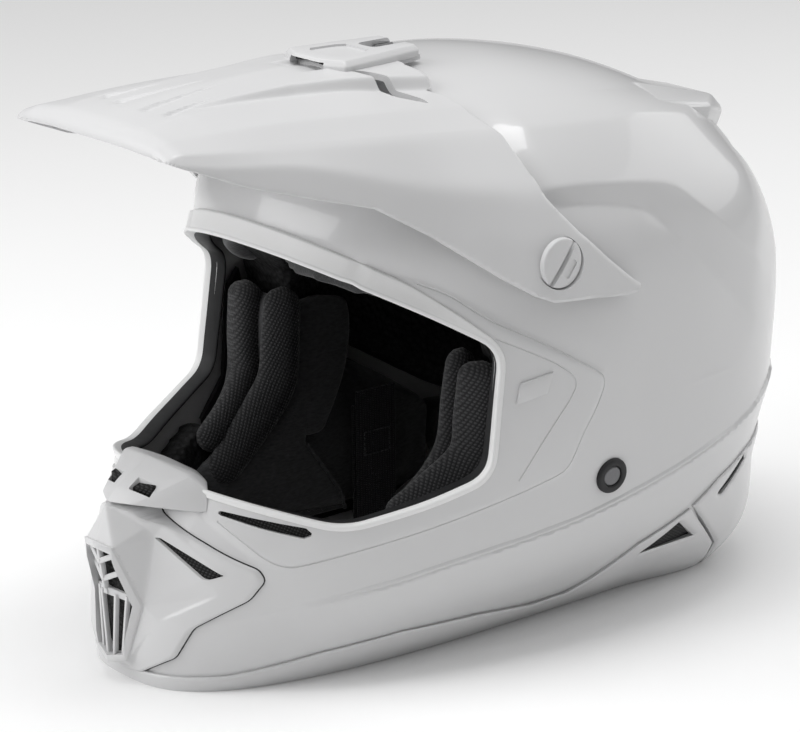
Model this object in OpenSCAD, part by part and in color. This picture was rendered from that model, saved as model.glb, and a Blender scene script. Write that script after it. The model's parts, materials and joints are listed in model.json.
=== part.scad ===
// Off-road helmet: moulded shell, foam liners, pads, straps, vents and an adjustable peak.
// Millimetres. +Z is up and z = 0 is the surface that the helmet rests on. The helmet faces -Y,
// +X is the wearer's left, x = 0 is the plane of symmetry and y = 0 is the line of the ears.

/* [Shell] */
// Width of the shell at its widest
shell_w = 246; // [242:1:250]
// Thickness of the shell's wall
shell_wall = 4; // [3.5:0.5:4.5]
// Points around each ring of the shell
shell_points = 60; // [40:4:72]
// Rings up the shell
shell_rings = 28; // [20:1:32]

/* [Eyeport rim] */
// How far the rim stands proud of the shell
rim_proud = 2; // [1.5:0.5:2.5]
// Thickness of the rim inside the opening
rim_wall = 2; // [1.5:0.5:2.5]
// Depth of the rim behind the shell's inner face
rim_depth = 4; // [3:0.5:5]

/* [Trim] */
// How far the trim stands proud of the shell
trim_proud = 2; // [1.5:0.5:2.5]
// How much further the trim flares out at the back corners
trim_flare = 9; // [6:1:11]

/* [Liners and pads] */
// Half width of the space for the head
head_half_w = 86; // [84:1:87]
// Thickness of the crown pad
crown_pad_t = 9; // [6:0.5:10]
// Gap between the two cheek pads at the chin strap
cheek_gap = 122; // [118:1:124]
// Thickness of the foam along the chin bar
chin_foam_t = 17; // [14:1:19]

/* [Peak] */
// Thickness of the peak's wall
peak_wall = 3; // [2.5:0.5:3]
// Gap between the peak and the shell
peak_gap = 2.4; // [2.2:0.1:2.8]
// Radius of the side screw's head
screw_head_r = 11.5; // [11:0.5:12]
// Radius of the side screw's shank
screw_shank_r = 3; // [2.5:0.5:3]

/* [Straps] */
// Width of the strap webbing
strap_w = 25; // [22:1:26]
// Thickness of the strap webbing
strap_t = 2; // [1.6:0.2:2.2]
// Radius of the D-ring wire
ring_wire_r = 1.8; // [1.6:0.1:1.8]

/* [Hidden] */
// Clearance between a shaft and its hole, on the radius
run_fit = 0.05;
// Small overlap or gap that keeps faces from coinciding
eps = 0.05;
// Gap between the shell's wall and what lies against it
foam_gap = 1;
// Larger than the helmet, for cutting blocks
big = 300;

// Sections of the shell from the base to the crown: height, half width, y of the widest point,
// y of the back, y of the front, power of the front curve, power of the back curve
sections = [
    [0, 65, 0, 124, -202, 3.0, 3.0],
    [20, 88, 0, 135, -204, 2.4, 2.9],
    [50, 110, 0, 145, -199, 2.1, 2.6],
    [90, 120, 0, 154, -184, 2.0, 2.5],
    [130, 123, 0, 160, -156, 2.0, 2.5],
    [170, 123, 0, 157, -130, 2.1, 2.5],
    [205, 117, 0, 140, -124, 2.2, 2.4],
    [232, 100, -2, 110, -110, 2.2, 2.3],
    [252, 73, -6, 70, -86, 2.2, 2.1],
    [263, 39, -10, 26, -52, 2.1, 2.0],
    [266, 0, -12, -12, -12, 2.0, 2.0]
];
// Half width that the section table is written for
table_half_w = 123;
width_scale = shell_w / 2 / table_half_w;
top_t = len(sections) - 1;
// The shell's rings stop this far short of the crown, which one flat cap closes
crown_stop = 0.05;

// Side views, as y and z points
eyeport_edge = [[-240, 267], [-69, 154], [-77, 97], [-103, 88], [-138, 79], [-176, 92], [-240, 114]];
rim_edge = [[-240, 281], [-101, 187], [-65, 158], [-63, 151], [-72, 95], [-90, 88], [-115, 81],
    [-138, 75.5], [-178, 89], [-240, 110]];
peak_edge = [[-230, 262], [-205, 251], [-178, 240], [-147, 231], [-121, 224], [-97, 209], [-70, 188],
    [-57, 179], [-49, 175.5], [-25, 174], [-8, 172], [2, 173], [-3, 177], [-18, 191], [-32, 205],
    [-39, 214], [-44, 221], [-46, 234], [-47, 246], [-52, 254], [-51, 280], [-230, 290]];
trim_edge = [[-230, 5], [-179, 8], [-142, 16], [-105, 20], [-63, 19], [-27, 14], [-7, 15], [4, 21],
    [23, 38], [33, 42], [52, 50], [88, 18], [96, -20], [-230, -20]];
rear_trim_edge = [[54, 51], [71, 61], [96, 68], [180, 76], [180, -20], [98, -20], [90, 18]];

// Outline of the mouth housing on the wearer's left, as x and z points
housing_edge = [[0, 86], [18, 85], [62, 63], [65, 57], [60, 47], [42, 33], [34, 18], [20, 8], [0, 5]];
// Outline of the grille opening, as x and z points
grille_edge = [[0, 68], [10, 67], [17, 39], [11, 11], [0, 10]];
// Outline of the left side vent of the mouth housing, as x and z points
mouth_vent_edge = [[27, 74], [52, 59], [46, 56]];
// Front of the grille, top and bottom
grille_top_y = -214;
grille_low_y = -210;

// Side screw and tilt axis of the peak
pivot_y = -44.5;
pivot_z = 193;
// Places of the strap rivets
rivet_y = -10;
rivet_z = 84;
// Screw through the top of the peak
top_screw_y = -46;
// Line of the chin straps
strap_y = -8;
ring_bar_z = 30;

// Sections of the peak from the tip back: y, then x and z of points from the middle to the lower edge
peak_sections = [
    [-212, [[0, 262], [28, 262], [48, 261], [58, 258], [61, 254], [62, 248], [62, 240]]],
    [-190, [[0, 266], [30, 265], [50, 261], [62, 256], [67, 250], [68.5, 243], [69, 230]]],
    [-148, [[0, 270], [32, 268], [54, 262], [68.5, 252], [76, 245], [80, 232], [82, 215]]],
    [-99, [[0, 271.5], [34, 269], [60, 261], [77, 249], [92, 231], [96, 210], [98, 190]]],
    [-72, [[0, 271], [34, 268], [62, 259.5], [81, 247.5], [103, 227], [110, 205], [114, 175]]],
    [-45, [[0, 270.5], [34, 267.5], [64, 258.5], [86, 246], [111, 224], [122, 200], [126, 170]]],
    [6, [[0, 272], [34, 269], [68, 260], [94, 245], [114, 225], [124, 202], [129, 168]]]
];
peak_floor = 150;
peak_steps = 4;

// Interpolates a row between its neighbours with a smooth curve
function spline(a, b, c, d, f) =
    0.5 * (2 * b + (c - a) * f + (2 * a - 5 * b + 4 * c - d) * f * f
    + (3 * b - 3 * c + d - a) * f * f * f);

// Row beyond each end of the section table, so that the base and crown curve on smoothly
below_base = 2 * sections[0] - sections[1];
crown_row = sections[top_t - 1];
beyond_crown = [crown_row[0], -crown_row[1], crown_row[2], crown_row[4], crown_row[3],
    crown_row[5], crown_row[6]];
function section_row(i) = i < 0 ? below_base : i > top_t ? beyond_crown : sections[i];
function section_at(t) =
    let (i = min(floor(t), top_t - 1))
    spline(section_row(i - 1), section_row(i), section_row(i + 1), section_row(i + 2), t - i);

// Place of a height in the section table, found by halving
function t_at(z, low = 0, high = 10, n = 20) =
    let (mid = (low + high) / 2)
    n == 0 ? mid : section_at(mid)[0] < z ? t_at(z, mid, high, n - 1) : t_at(z, low, mid, n - 1);

function signed_pow(v, p) = sign(v) * pow(abs(v), p);
function shell_point(t, a) =
    let (
        s = section_at(t),
        front = sin(a) < 0,
        p = 2 / (front ? s[5] : s[6]),
        reach = front ? s[2] - s[4] : s[3] - s[2]
    )
    [s[1] * width_scale * signed_pow(cos(a), p), s[2] + reach * signed_pow(sin(a), p), s[0]];
function shell_normal(t, a) =
    let (
        round = shell_point(t, a + 2) - shell_point(t, a - 2),
        rise = shell_point(min(t + 0.05, top_t), a) - shell_point(max(t - 0.05, 0), a),
        n = cross(round, rise)
    )
    n / norm(n);
function offset_point(t, a, grow) = shell_point(t, a) + grow * shell_normal(t, a);

// Half width of the shell at a place in the side view
function side_x(y, z, grow = 0) =
    let (
        s = section_at(t_at(z)),
        front = y < s[2],
        n = front ? s[5] : s[6],
        reach = (front ? s[2] - s[4] : s[3] - s[2]) + grow,
        part = min(abs(y - s[2]) / reach, 1)
    )
    (s[1] * width_scale + grow) * pow(1 - pow(part, n), 1 / n);

// Closed solid through rings that all have the same number of points
module skin(rings) {
    n = len(rings[0]);
    m = len(rings);
    polyhedron(
        points = [for (r = rings) for (p = r) p],
        faces = concat(
            [[for (j = [0 : n - 1]) j]],
            [for (k = [0 : m - 2]) for (j = [0 : n - 1])
                let (q = (j + 1) % n)
                [k * n + j, (k + 1) * n + j, (k + 1) * n + q, k * n + q]],
            [[for (j = [0 : n - 1]) (m - 1) * n + n - 1 - j]]
        ),
        convexity = 6
    );
}

// Solid inside the shell's outer surface grown by some amount, carried down below the base
module shell_form(grow = 0, drop = 10, points = shell_points, ring_count = shell_rings) {
    last = top_t - crown_stop;
    rings = [for (k = [0 : ring_count]) let (t = last * k / ring_count)
        [for (j = [0 : points - 1]) offset_point(t, 360 * j / points, grow)]];
    foot = [for (p = rings[0]) [p[0], p[1], -drop]];
    skin(drop > 0 ? concat([foot], rings) : rings);
}

// Joins its children into one mesh at their own size
module one_mesh() {
    resize([0, 0, 0]) children();
}

// Extrudes a side view of y and z points from one x to another
module side_block(x0, x1) {
    translate([x0, 0, 0]) rotate([90, 0, 90]) linear_extrude(x1 - x0) children();
}

// Extrudes a front view of x and z points from one y back to another
module front_block(y0, y1) {
    translate([0, y1, 0]) rotate([90, 0, 0]) linear_extrude(y1 - y0) children();
}

module across() {
    side_block(-big / 2, big / 2) children();
}

module both_sides() {
    children();
    mirror([1, 0, 0]) children();
}

// Keeps a left-hand piece, or mirrors it to the wearer's right
module on_side(s) {
    mirror([s > 0 ? 0 : 1, 0, 0]) children();
}

module rounded(r) {
    offset(r = r) offset(delta = -r) children();
}

module above_base() {
    translate([-big, -big, 0]) cube([2 * big, 2 * big, 2 * big]);
}

// Space for the head and neck, grown by some amount
module head_form(grow = 0) {
    head_y = 14;
    head_z = 128;
    hull() {
        translate([0, head_y, head_z])
            scale([head_half_w + grow, 112 + grow, 102 + grow]) sphere(1, $fn = 40);
        translate([0, head_y + 12, -20])
            scale([62 + grow, 84 + grow, 1]) cylinder(r = 1, h = 1, $fn = 40);
    }
}

// Mirrored front outline made from its left half
module front_outline(half) {
    polygon(concat(half, [for (i = [len(half) - 2 : -1 : 1]) [-half[i][0], half[i][1]]]));
}

// Place where the left exhaust vent goes through the shell, seen from behind
module exhaust_hole(grow) {
    translate([0, 60, 0]) rotate([90, 0, 180]) mirror([1, 0, 0])
        linear_extrude(110) offset(delta = grow)
        polygon([[44, 205], [50, 222], [76, 213], [72, 196]]);
}

module corner_vent_hole(grow) {
    side_block(60, 140) offset(delta = grow) polygon([[28, 30], [47, 44], [66, 30]]);
}

module chin_slot(grow) {
    side_block(30, 86) offset(delta = grow) polygon([[-179, 80], [-177, 85], [-150, 73], [-152, 70]]);
}

module shell_cuts() {
    across() offset(delta = rim_wall) rounded(9) polygon(eyeport_edge);
    both_sides() corner_vent_hole(0);
    both_sides() exhaust_hole(0);
    both_sides() chin_slot(0);
    front_block(-260, -150) offset(delta = 1) front_outline(grille_edge);
    both_sides() front_block(-230, -150) polygon(mouth_vent_edge);
    both_sides() side_block(80, 140) translate([rivet_y, rivet_z]) circle(4, $fn = 16);
    both_sides() side_block(80, 140) translate([pivot_y, pivot_z]) circle(5.2, $fn = 16);
    translate([0, top_screw_y, 240]) cylinder(r = 3.2, h = 60, $fn = 16);
}

// Raised lip at the back of each shoulder rail
module spoiler() {
    both_sides() hull() {
        translate([66, 96, 234]) sphere(5, $fn = 12);
        translate([40, 110, 230]) sphere(5, $fn = 12);
        translate([56, 112, 235]) sphere(3.5, $fn = 12);
        translate([70, 40, 243]) sphere(6, $fn = 12);
        translate([52, 60, 242]) sphere(6, $fn = 12);
    }
}

module outer_shell() {
    color("whitesmoke") one_mesh() difference() {
        union() {
            shell_form(0, 0);
            spoiler();
        }
        shell_form(-shell_wall, 10, 48, 20);
        shell_cuts();
    }
}

module crown_foam() {
    zone = [[180, 62], [60, 62], [5, 96], [-40, 110], [-52, 150], [-240, 284], [-240, 320],
        [180, 320]];
    color("dimgray") one_mesh() difference() {
        intersection() {
            shell_form(-shell_wall - foam_gap, 10, 40, 16);
            across() polygon(zone);
        }
        head_form();
        both_sides() side_block(60, 140) translate([pivot_y, pivot_z]) square(24, center = true);
        translate([0, top_screw_y, 240]) cylinder(r = 9, h = 60, $fn = 16);
    }
}

module chin_foam() {
    zone = [[-240, 9], [-240, 66], [-150, 62], [-128, 68], [-100, 78], [-88, 74], [-80, 20],
        [-84, 9]];
    color("dimgray") one_mesh() difference() {
        intersection() {
            shell_form(-shell_wall - foam_gap, 10, 40, 16);
            across() polygon(zone);
        }
        shell_form(-shell_wall - chin_foam_t, 10, 40, 16);
        front_block(-260, -150) offset(delta = 5) front_outline(grille_edge);
        both_sides() front_block(-230, -150) offset(delta = 3) polygon(mouth_vent_edge);
    }
}

module eyeport_rim() {
    color("white") one_mesh() difference() {
        union() {
            intersection() {
                shell_form(rim_proud, 0);
                across() rounded(6) polygon(rim_edge);
            }
            intersection() {
                shell_form(0.5, 0);
                across() offset(delta = rim_wall - eps) rounded(9) polygon(eyeport_edge);
            }
        }
        shell_form(-shell_wall - rim_depth, 10, 40, 16);
        difference() {
            shell_form(eps, 10);
            across() offset(delta = rim_wall - eps) rounded(9) polygon(eyeport_edge);
        }
        across() rounded(9) polygon(eyeport_edge);
        guard_zone(0.4);
    }
}

// Rises smoothly from 0 to 1 as v goes from a to b
function ease(a, b, v) = let (f = max(0, min(1, (v - a) / (b - a)))) f * f * (3 - 2 * f);
// How far the trim stands out, by the angle round the shell and the height
function trim_grow(a, z) =
    let (back = a > 180 ? 0 : min(a, 180 - a))
    trim_proud + trim_flare * ease(8, 42, back) * (1 - 0.5 * ease(55, 90, back)) * (1 - ease(22, 62, z));

module trim_form() {
    top = t_at(84);
    rings = [for (k = [0 : 12]) let (t = top * k / 12)
        [for (j = [0 : shell_points - 1]) let (a = 360 * j / shell_points)
            offset_point(t, a, trim_grow(a, section_at(t)[0]))]];
    skin(concat([[for (p = rings[0]) [p[0], p[1], -10]]], rings));
}

// Painted moulding around the foot of the shell, flared at the back corners
module lower_trim() {
    color("whitesmoke") one_mesh() difference() {
        intersection() {
            trim_form();
            across() polygon(trim_edge);
            above_base();
        }
        shell_form(eps, 12);
        both_sides() corner_vent_hole(0);
        front_block(-260, -150) front_outline(housing_edge);
    }
}

// Back panel of the trim, with a slot at each side
module rear_trim() {
    color("whitesmoke") one_mesh() difference() {
        intersection() {
            trim_form();
            across() polygon(rear_trim_edge);
            above_base();
        }
        shell_form(eps, 12);
        both_sides() side_block(60, 140) polygon([[73, 52], [96, 66], [99, 62], [77, 50]]);
    }
}

// Rubber lip rolled under the shell's base
module neck_lip() {
    color([0.12, 0.12, 0.12]) one_mesh() intersection() {
        translate([-big, -big, 0]) cube([2 * big, 2 * big, 7]);
        difference() {
            shell_form(-shell_wall - foam_gap, 10);
            shell_form(-shell_wall - 5, 10, 40, 16);
        }
    }
}

module mesh_sheet(front, back) {
    difference() {
        shell_form(front, 10, 48, 20);
        shell_form(back, 12, 48, 20);
    }
}

module corner_vent(s) {
    color([0.1, 0.1, 0.1]) on_side(s) one_mesh() intersection() {
        mesh_sheet(-1, -3);
        corner_vent_hole(-0.2);
    }
}

module exhaust_vent(s) {
    color([0.1, 0.1, 0.1]) on_side(s) one_mesh() intersection() {
        mesh_sheet(-0.5, -3.5);
        exhaust_hole(-0.2);
    }
}

module chin_mesh(s) {
    color([0.15, 0.15, 0.15]) on_side(s) one_mesh() intersection() {
        mesh_sheet(-0.5, -3);
        chin_slot(-0.2);
    }
}

// Beak of the mouth housing, from the shell out to the grille
module mouth_beak() {
    hull() {
        front_slice(-178, 1) front_outline([[0, 86], [18, 85], [54, 66], [52, 52], [30, 20], [14, 8], [0, 5]]);
        front_slice(-204, 1) front_outline([[0, 84], [14, 82], [24, 60], [26, 40], [20, 14], [0, 6]]);
        front_slice(grille_low_y, 0.5) front_outline([[0, 84], [7, 82], [16, 60], [20, 38], [14, 8], [0, 6]]);
        front_slice(grille_top_y, 0.5) front_outline([[0, 70], [11, 69], [12, 58], [0, 55]]);
    }
}

module front_slice(y, t) {
    front_block(y, y + t) children();
}

module mouth_housing_form(grow) {
    intersection() {
        shell_form(2.6, 0);
        front_block(-230, -120) offset(delta = grow) rounded(4) front_outline(housing_edge);
    }
    mouth_beak();
}

module mouth_housing() {
    color("whitesmoke") one_mesh() difference() {
        mouth_housing_form(0);
        shell_form(eps, 10);
        front_block(-260, -190) front_outline(grille_edge);
        both_sides() front_block(-230, -150) polygon(mouth_vent_edge);
    }
}

module mouth_grille() {
    color("whitesmoke") one_mesh() intersection() {
        front_block(-212.5, -206) offset(delta = -0.2) front_outline(grille_edge);
        union() {
            difference() {
                front_block(-212.5, -206) front_outline(grille_edge);
                front_block(-214, -205) offset(delta = -2.2) front_outline(grille_edge);
            }
            front_block(-212, -207) translate([-1.2, 0]) square([2.4, 80]);
            for (z = [24, 34, 44, 54]) {
                front_block(-212, -207) translate([-20, z]) square([40, 1.8]);
            }
        }
    }
}

module mouth_filter() {
    color([0.1, 0.1, 0.1]) one_mesh() front_block(-205.5, -199) offset(delta = -0.4)
        front_outline(grille_edge);
}

module mouth_mesh(s) {
    color([0.1, 0.1, 0.1]) on_side(s) one_mesh() intersection() {
        mesh_sheet(-0.5, -3);
        front_block(-230, -150) offset(delta = -0.2) polygon(mouth_vent_edge);
    }
}

// Faceted block of the nose guard, from its corners on the wearer's left
module guard_zone(grow) {
    corners = [[7, -211, 84], [7, -211, 86], [20, -195, 86], [9, -184, 99.5], [20, -177, 96],
        [29, -172, 92], [35, -176, 84.5], [29, -166, 86], [18, -170, 96], [9, -174, 98]];
    hull() both_sides() for (c = corners) translate(c) sphere(1 + grow, $fn = 8);
}

module nose_guard() {
    color("whitesmoke") one_mesh() difference() {
        guard_zone(0);
        shell_form(eps, 10);
        mouth_housing_form(0.2);
        guard_slot(0);
    }
}

module guard_slot(shrink) {
    translate([5 + shrink, -208, 91 + shrink])
        cube([14 - 2 * shrink, 14, 3.4 - 2 * shrink]);
}

module nose_guard_mesh() {
    color([0.1, 0.1, 0.1]) one_mesh() intersection() {
        translate([5.2, -197, 91.2]) cube([13.6, 3, 3]);
        guard_zone(0);
    }
}

// Turns a shape made along +Z so that it points out of the left side at a place on the shell
module point_left(y, z, x) {
    translate([x, y, z]) rotate([0, 90, 0]) children();
}

rivet_x = side_x(rivet_y, rivet_z);

module strap_grommet(s) {
    color([0.06, 0.06, 0.06]) on_side(s) point_left(rivet_y, rivet_z, rivet_x + 1.1) difference() {
        cylinder(r = 8.5, h = 2.4, $fn = 64);
        translate([0, 0, -1]) cylinder(r = 5.1, h = 5, $fn = 64);
    }
}

module strap_rivet(s) {
    color("gray") on_side(s) point_left(rivet_y, rivet_z, rivet_x - shell_wall - 1) {
        cylinder(r = 2.5, h = 6.2, $fn = 48);
        translate([0, 0, 6]) cylinder(r = 5, h = 2.2, $fn = 64);
    }
}

// Webbing along a route of x and z points, laid flat against the cheek pad
module webbing(route) {
    translate([0, strap_y + strap_w / 2, 0]) rotate([90, 0, 0]) linear_extrude(strap_w)
        for (i = [0 : len(route) - 2]) {
            hull() {
                translate(route[i]) circle(strap_t / 2, $fn = 16);
                translate(route[i + 1]) circle(strap_t / 2, $fn = 16);
            }
        }
}

// Half width at which the straps lie against the cheek pads
strap_x = cheek_gap / 2 - strap_t / 2 - 0.4;
// Radius of the strap's loop round a ring's bar, and the distance between the two bars
ring_loop_r = ring_wire_r + 0.35 + strap_t / 2;
ring_pitch = 2 * ring_wire_r + 0.6;
ring_bar_x = strap_x - ring_loop_r;

module chin_strap_left() {
    gap = 2 * ring_loop_r;
    loop = [for (a = [0 : 30 : 180])
        [ring_bar_x + ring_loop_r * cos(a), ring_bar_z - ring_loop_r * sin(a)]];
    outer_loop = [for (p = loop) p[0] < ring_bar_x ? [p[0] - ring_pitch, p[1]] : p];
    color([0.08, 0.08, 0.08]) one_mesh()
        webbing(concat([[strap_x, 76]], outer_loop, [[strap_x - gap - ring_pitch, 34],
        [strap_x - strap_t - 0.2, 50], [strap_x - strap_t - 0.2, 66]]));
}

module chin_strap_right() {
    fold = 3.2;
    turn = [for (a = [0 : 30 : 180]) [fold / 2 * cos(a), -fold / 2 * sin(a)]];
    color([0.08, 0.08, 0.08]) mirror([1, 0, 0]) one_mesh()
        webbing(concat([[strap_x, 76]], [for (p = turn) [strap_x - fold / 2 + p[0], 11 + p[1]]],
        [[strap_x - fold, 84]]));
}

// D-shaped ring hanging from its straight bar
module d_ring(w, h, x) {
    r = ring_wire_r;
    translate([x, strap_y, ring_bar_z]) {
        rotate([90, 0, 0]) translate([0, 0, -w / 2]) cylinder(r = r, h = w, $fn = 24);
        for (e = [-1, 1]) {
            translate([0, e * w / 2, 0]) sphere(r, $fn = 24);
            translate([0, e * w / 2, -h]) cylinder(r = r, h = h, $fn = 24);
            translate([0, e * w / 2, -h]) sphere(r, $fn = 24);
        }
        rotate([90, 0, 0]) translate([0, -h, -w / 2]) cylinder(r = r, h = w, $fn = 24);
    }
}

module d_ring_outer() {
    color("silver") d_ring(33, 24, ring_bar_x);
}

module d_ring_inner() {
    color("silver") d_ring(33, 24, ring_bar_x - ring_pitch);
}

module crown_pad() {
    zone = [[180, 100], [60, 104], [0, 130], [-45, 168], [-50, 205], [-50, 320], [180, 320]];
    color([0.15, 0.15, 0.15]) one_mesh() difference() {
        intersection() {
            head_form(-0.4);
            across() polygon(zone);
        }
        head_form(-crown_pad_t);
    }
}

module brow_pad() {
    zone = [[-51, 155], [-51, 205], [-160, 205], [-160, 168], [-100, 168]];
    color([0.2, 0.2, 0.2]) one_mesh() difference() {
        intersection() {
            head_form(-0.4);
            across() polygon(zone);
        }
        head_form(-crown_pad_t);
    }
}

// Side view of the cheek pads
cheek_zone = [[-116, 22], [-122, 60], [-88, 74], [-68, 92], [-63, 138], [-55, 145], [-44, 107],
    [2, 91], [42, 66], [40, 24], [10, 16], [-80, 16]];

module cheek_plate(s) {
    color([0.2, 0.2, 0.2]) on_side(s) one_mesh() difference() {
        intersection() {
            shell_form(-shell_wall - 2, 10, 40, 16);
            side_block(58, 140) polygon(cheek_zone);
        }
        shell_form(-shell_wall - 4.5, 12, 40, 16);
        shell_form_chin();
    }
}

// Space that the chin foam takes
module shell_form_chin() {
    across() polygon([[-240, -20], [-240, 110], [-176, 84], [-138, 72], [-100, 81], [-86, 74],
        [-78, 20], [-84, -20]]);
}

module cheek_pad(s) {
    color([0.1, 0.1, 0.1]) on_side(s) one_mesh() difference() {
        intersection() {
            shell_form(-shell_wall - 4.8, 10, 40, 16);
            side_block(cheek_gap / 2, 140) polygon(cheek_zone);
        }
        head_form(-7);
        difference() {
            shell_form_chin();
            shell_form(-shell_wall - chin_foam_t - 0.4, 12, 40, 16);
        }
    }
}

module neck_roll() {
    zone = [[46, 14], [46, 58], [180, 58], [180, 14]];
    color([0.15, 0.15, 0.15]) one_mesh() difference() {
        intersection() {
            shell_form(-shell_wall - 1, 10, 40, 16);
            across() polygon(zone);
        }
        head_form(0);
        shell_form(-shell_wall - 24, 12, 40, 16);
    }
}

screw_x = side_x(pivot_y, pivot_z);

module screw_insert(s) {
    color("silver") on_side(s) point_left(pivot_y, pivot_z, screw_x - shell_wall - 7) difference() {
        union() {
            cylinder(r = 8, h = 3, $fn = 48);
            cylinder(r = 4.8, h = 8, $fn = 48);
        }
        translate([0, 0, -1]) cylinder(r = screw_shank_r + run_fit, h = 12, $fn = 48);
    }
}

// Smooth row of points between the peak's sections
function peak_row(i) = peak_sections[max(0, min(i, len(peak_sections) - 1))];
function peak_at(i, f) = [
    spline(peak_row(i - 1)[0], peak_row(i)[0], peak_row(i + 1)[0], peak_row(i + 2)[0], f),
    [for (k = [0 : 6])
        spline(peak_row(i - 1)[1][k], peak_row(i)[1][k], peak_row(i + 1)[1][k],
        peak_row(i + 2)[1][k], f)]];
// Profile moved inwards by the wall's thickness
function inward(p, k, t) = let (
        a = p[max(k - 1, 0)],
        b = p[min(k + 1, 6)],
        d = b - a,
        n = [d[1], -d[0]] / norm(d)
    ) k == 0 ? [0, p[0][1] - t] : p[k] + n * t;
function peak_ring(row, t, y) =
    let (
        p = [for (k = [0 : 6]) t == 0 ? row[1][k] : inward(row[1], k, t)],
        left = concat(p, [[p[6][0], peak_floor - t]]),
        n = len(left)
    )
    concat(
        [for (k = [0 : n - 1]) [-left[n - 1 - k][0], y, left[n - 1 - k][1]]],
        [for (k = [1 : n - 1]) [left[k][0], y, left[k][1]]]
    );

module peak_form(t) {
    front = peak_at(0, 0);
    rows = concat([for (i = [0 : 5]) for (k = [0 : peak_steps - 1]) peak_at(i, k / peak_steps)],
        [peak_at(5, 1)]);
    skin([for (r = rows) peak_ring(r, t, r[0] == front[0] ? r[0] + t : r[0])]);
}

module peak_slot() {
    both_sides() translate([0, 0, 240]) linear_extrude(40)
        polygon([[20, -83], [46, -76], [58, -66], [52, -65], [26, -76]]);
}

module peak() {
    boss_r = 18;
    head_room = 0.6;
    color("whitesmoke") one_mesh() difference() {
        intersection() {
            difference() {
                peak_form(0);
                difference() {
                    peak_form(peak_wall);
                    both_sides() pivot_disc(90, boss_r);
                }
            }
            union() {
                across() polygon(peak_edge);
                translate([-15, -60, 255]) cube([30, 25, 30]);
            }
        }
        shell_form(peak_gap, 10);
        peak_slot();
        both_sides() {
            pivot_disc(90, 7.2);
            pivot_disc(ear_x + 4, screw_head_r + head_room);
        }
        translate([-3.3, top_screw_y - 8.8, 250]) cube([6.6, 16.2, 40]);
    }
}

// Disc round the side screw, from some x outwards
module pivot_disc(x, r) {
    side_block(x, 150) translate([pivot_y, pivot_z]) circle(r, $fn = 48);
}

module scoop_outline() {
    polygon([[0, -92], [10, -92], [23, -86], [20, -66], [15, -36], [0, -36]]);
}

module peak_scoop() {
    color("whitesmoke") one_mesh() difference() {
        both_sides() translate([0, 0, 262]) linear_extrude(12) scoop_outline();
        peak_form(-0.05);
        translate([0, 0, -3]) peak_form(-0.05);
        translate([-6.5, top_screw_y - 11, 250]) cube([13, 30, 40]);
        translate([-14, -96, 268]) cube([28, 10, 4.6]);
    }
}

module peak_scoop_mesh() {
    color([0.1, 0.1, 0.1]) one_mesh() difference() {
        translate([-11.8, -88, 268.2]) cube([23.6, 2, 4.4]);
        peak_form(-0.05);
    }
}

// Outside face of the peak at the side screws
ear_x = screw_x + peak_gap + 0.3;

module pivot_bush(s) {
    color([0.1, 0.1, 0.1]) on_side(s) point_left(pivot_y, pivot_z, ear_x) difference() {
        cylinder(r = 7, h = 4, $fn = 48);
        translate([0, 0, -1]) cylinder(r = screw_shank_r + run_fit, h = 8, $fn = 48);
    }
}

module peak_screw(s) {
    color("whitesmoke") on_side(s) point_left(pivot_y, pivot_z, ear_x + 4.3) difference() {
        union() {
            cylinder(r = screw_head_r, h = 3.2, $fn = 64);
            translate([0, 0, -18]) cylinder(r = screw_shank_r, h = 18.1, $fn = 48);
        }
        rotate([0, 0, 52]) translate([-1.4, -20, 1.4]) cube([2.8, 40, 4]);
    }
}

module top_screw() {
    head_z = 271.7;
    color("silver") translate([0, top_screw_y, 0]) difference() {
        union() {
            translate([0, 0, head_z]) cylinder(r = 5, h = 2, $fn = 48);
            translate([0, 0, 254]) cylinder(r = 2.8, h = head_z - 253.9, $fn = 48);
            translate([0, 0, 253]) cylinder(r = 6, h = 3, $fn = 48);
        }
        translate([-0.7, -6, head_z + 1.2]) cube([1.4, 12, 3]);
    }
}

outer_shell();
crown_foam();
chin_foam();
eyeport_rim();
lower_trim();
rear_trim();
neck_lip();
corner_vent(1);  // corner_vent_left
corner_vent(-1);  // corner_vent_right
exhaust_vent(1);  // exhaust_vent_left
exhaust_vent(-1);  // exhaust_vent_right
mouth_housing();
mouth_grille();
mouth_filter();
mouth_mesh(1);  // mouth_mesh_left
mouth_mesh(-1);  // mouth_mesh_right
nose_guard();
nose_guard_mesh();
chin_mesh(1);  // chin_mesh_left
chin_mesh(-1);  // chin_mesh_right
strap_grommet(1);  // strap_grommet_left
strap_grommet(-1);  // strap_grommet_right
strap_rivet(1);  // strap_rivet_left
strap_rivet(-1);  // strap_rivet_right
chin_strap_left();
chin_strap_right();
d_ring_outer();
d_ring_inner();
crown_pad();
brow_pad();
cheek_plate(1);  // cheek_plate_left
cheek_plate(-1);  // cheek_plate_right
cheek_pad(1);  // cheek_pad_left
cheek_pad(-1);  // cheek_pad_right
neck_roll();
screw_insert(1);  // screw_insert_left
screw_insert(-1);  // screw_insert_right
peak();
peak_scoop();
peak_scoop_mesh();
pivot_bush(1);  // pivot_bush_left
pivot_bush(-1);  // pivot_bush_right
peak_screw(1);  // peak_screw_left
peak_screw(-1);  // peak_screw_right
top_screw();
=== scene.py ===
"""Off-road helmet: the looks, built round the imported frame.

Lengths are millimetres until a mesh is made. +X is the wearer's left, -Y is the way the helmet
faces and z = 0 is the surface that it rests on. Shapes are worked out on the left and mirrored.
"""

import json
import math

import bmesh
import bpy
import numpy as np
from mathutils import Matrix, Vector
from mathutils.bvhtree import BVHTree


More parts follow.
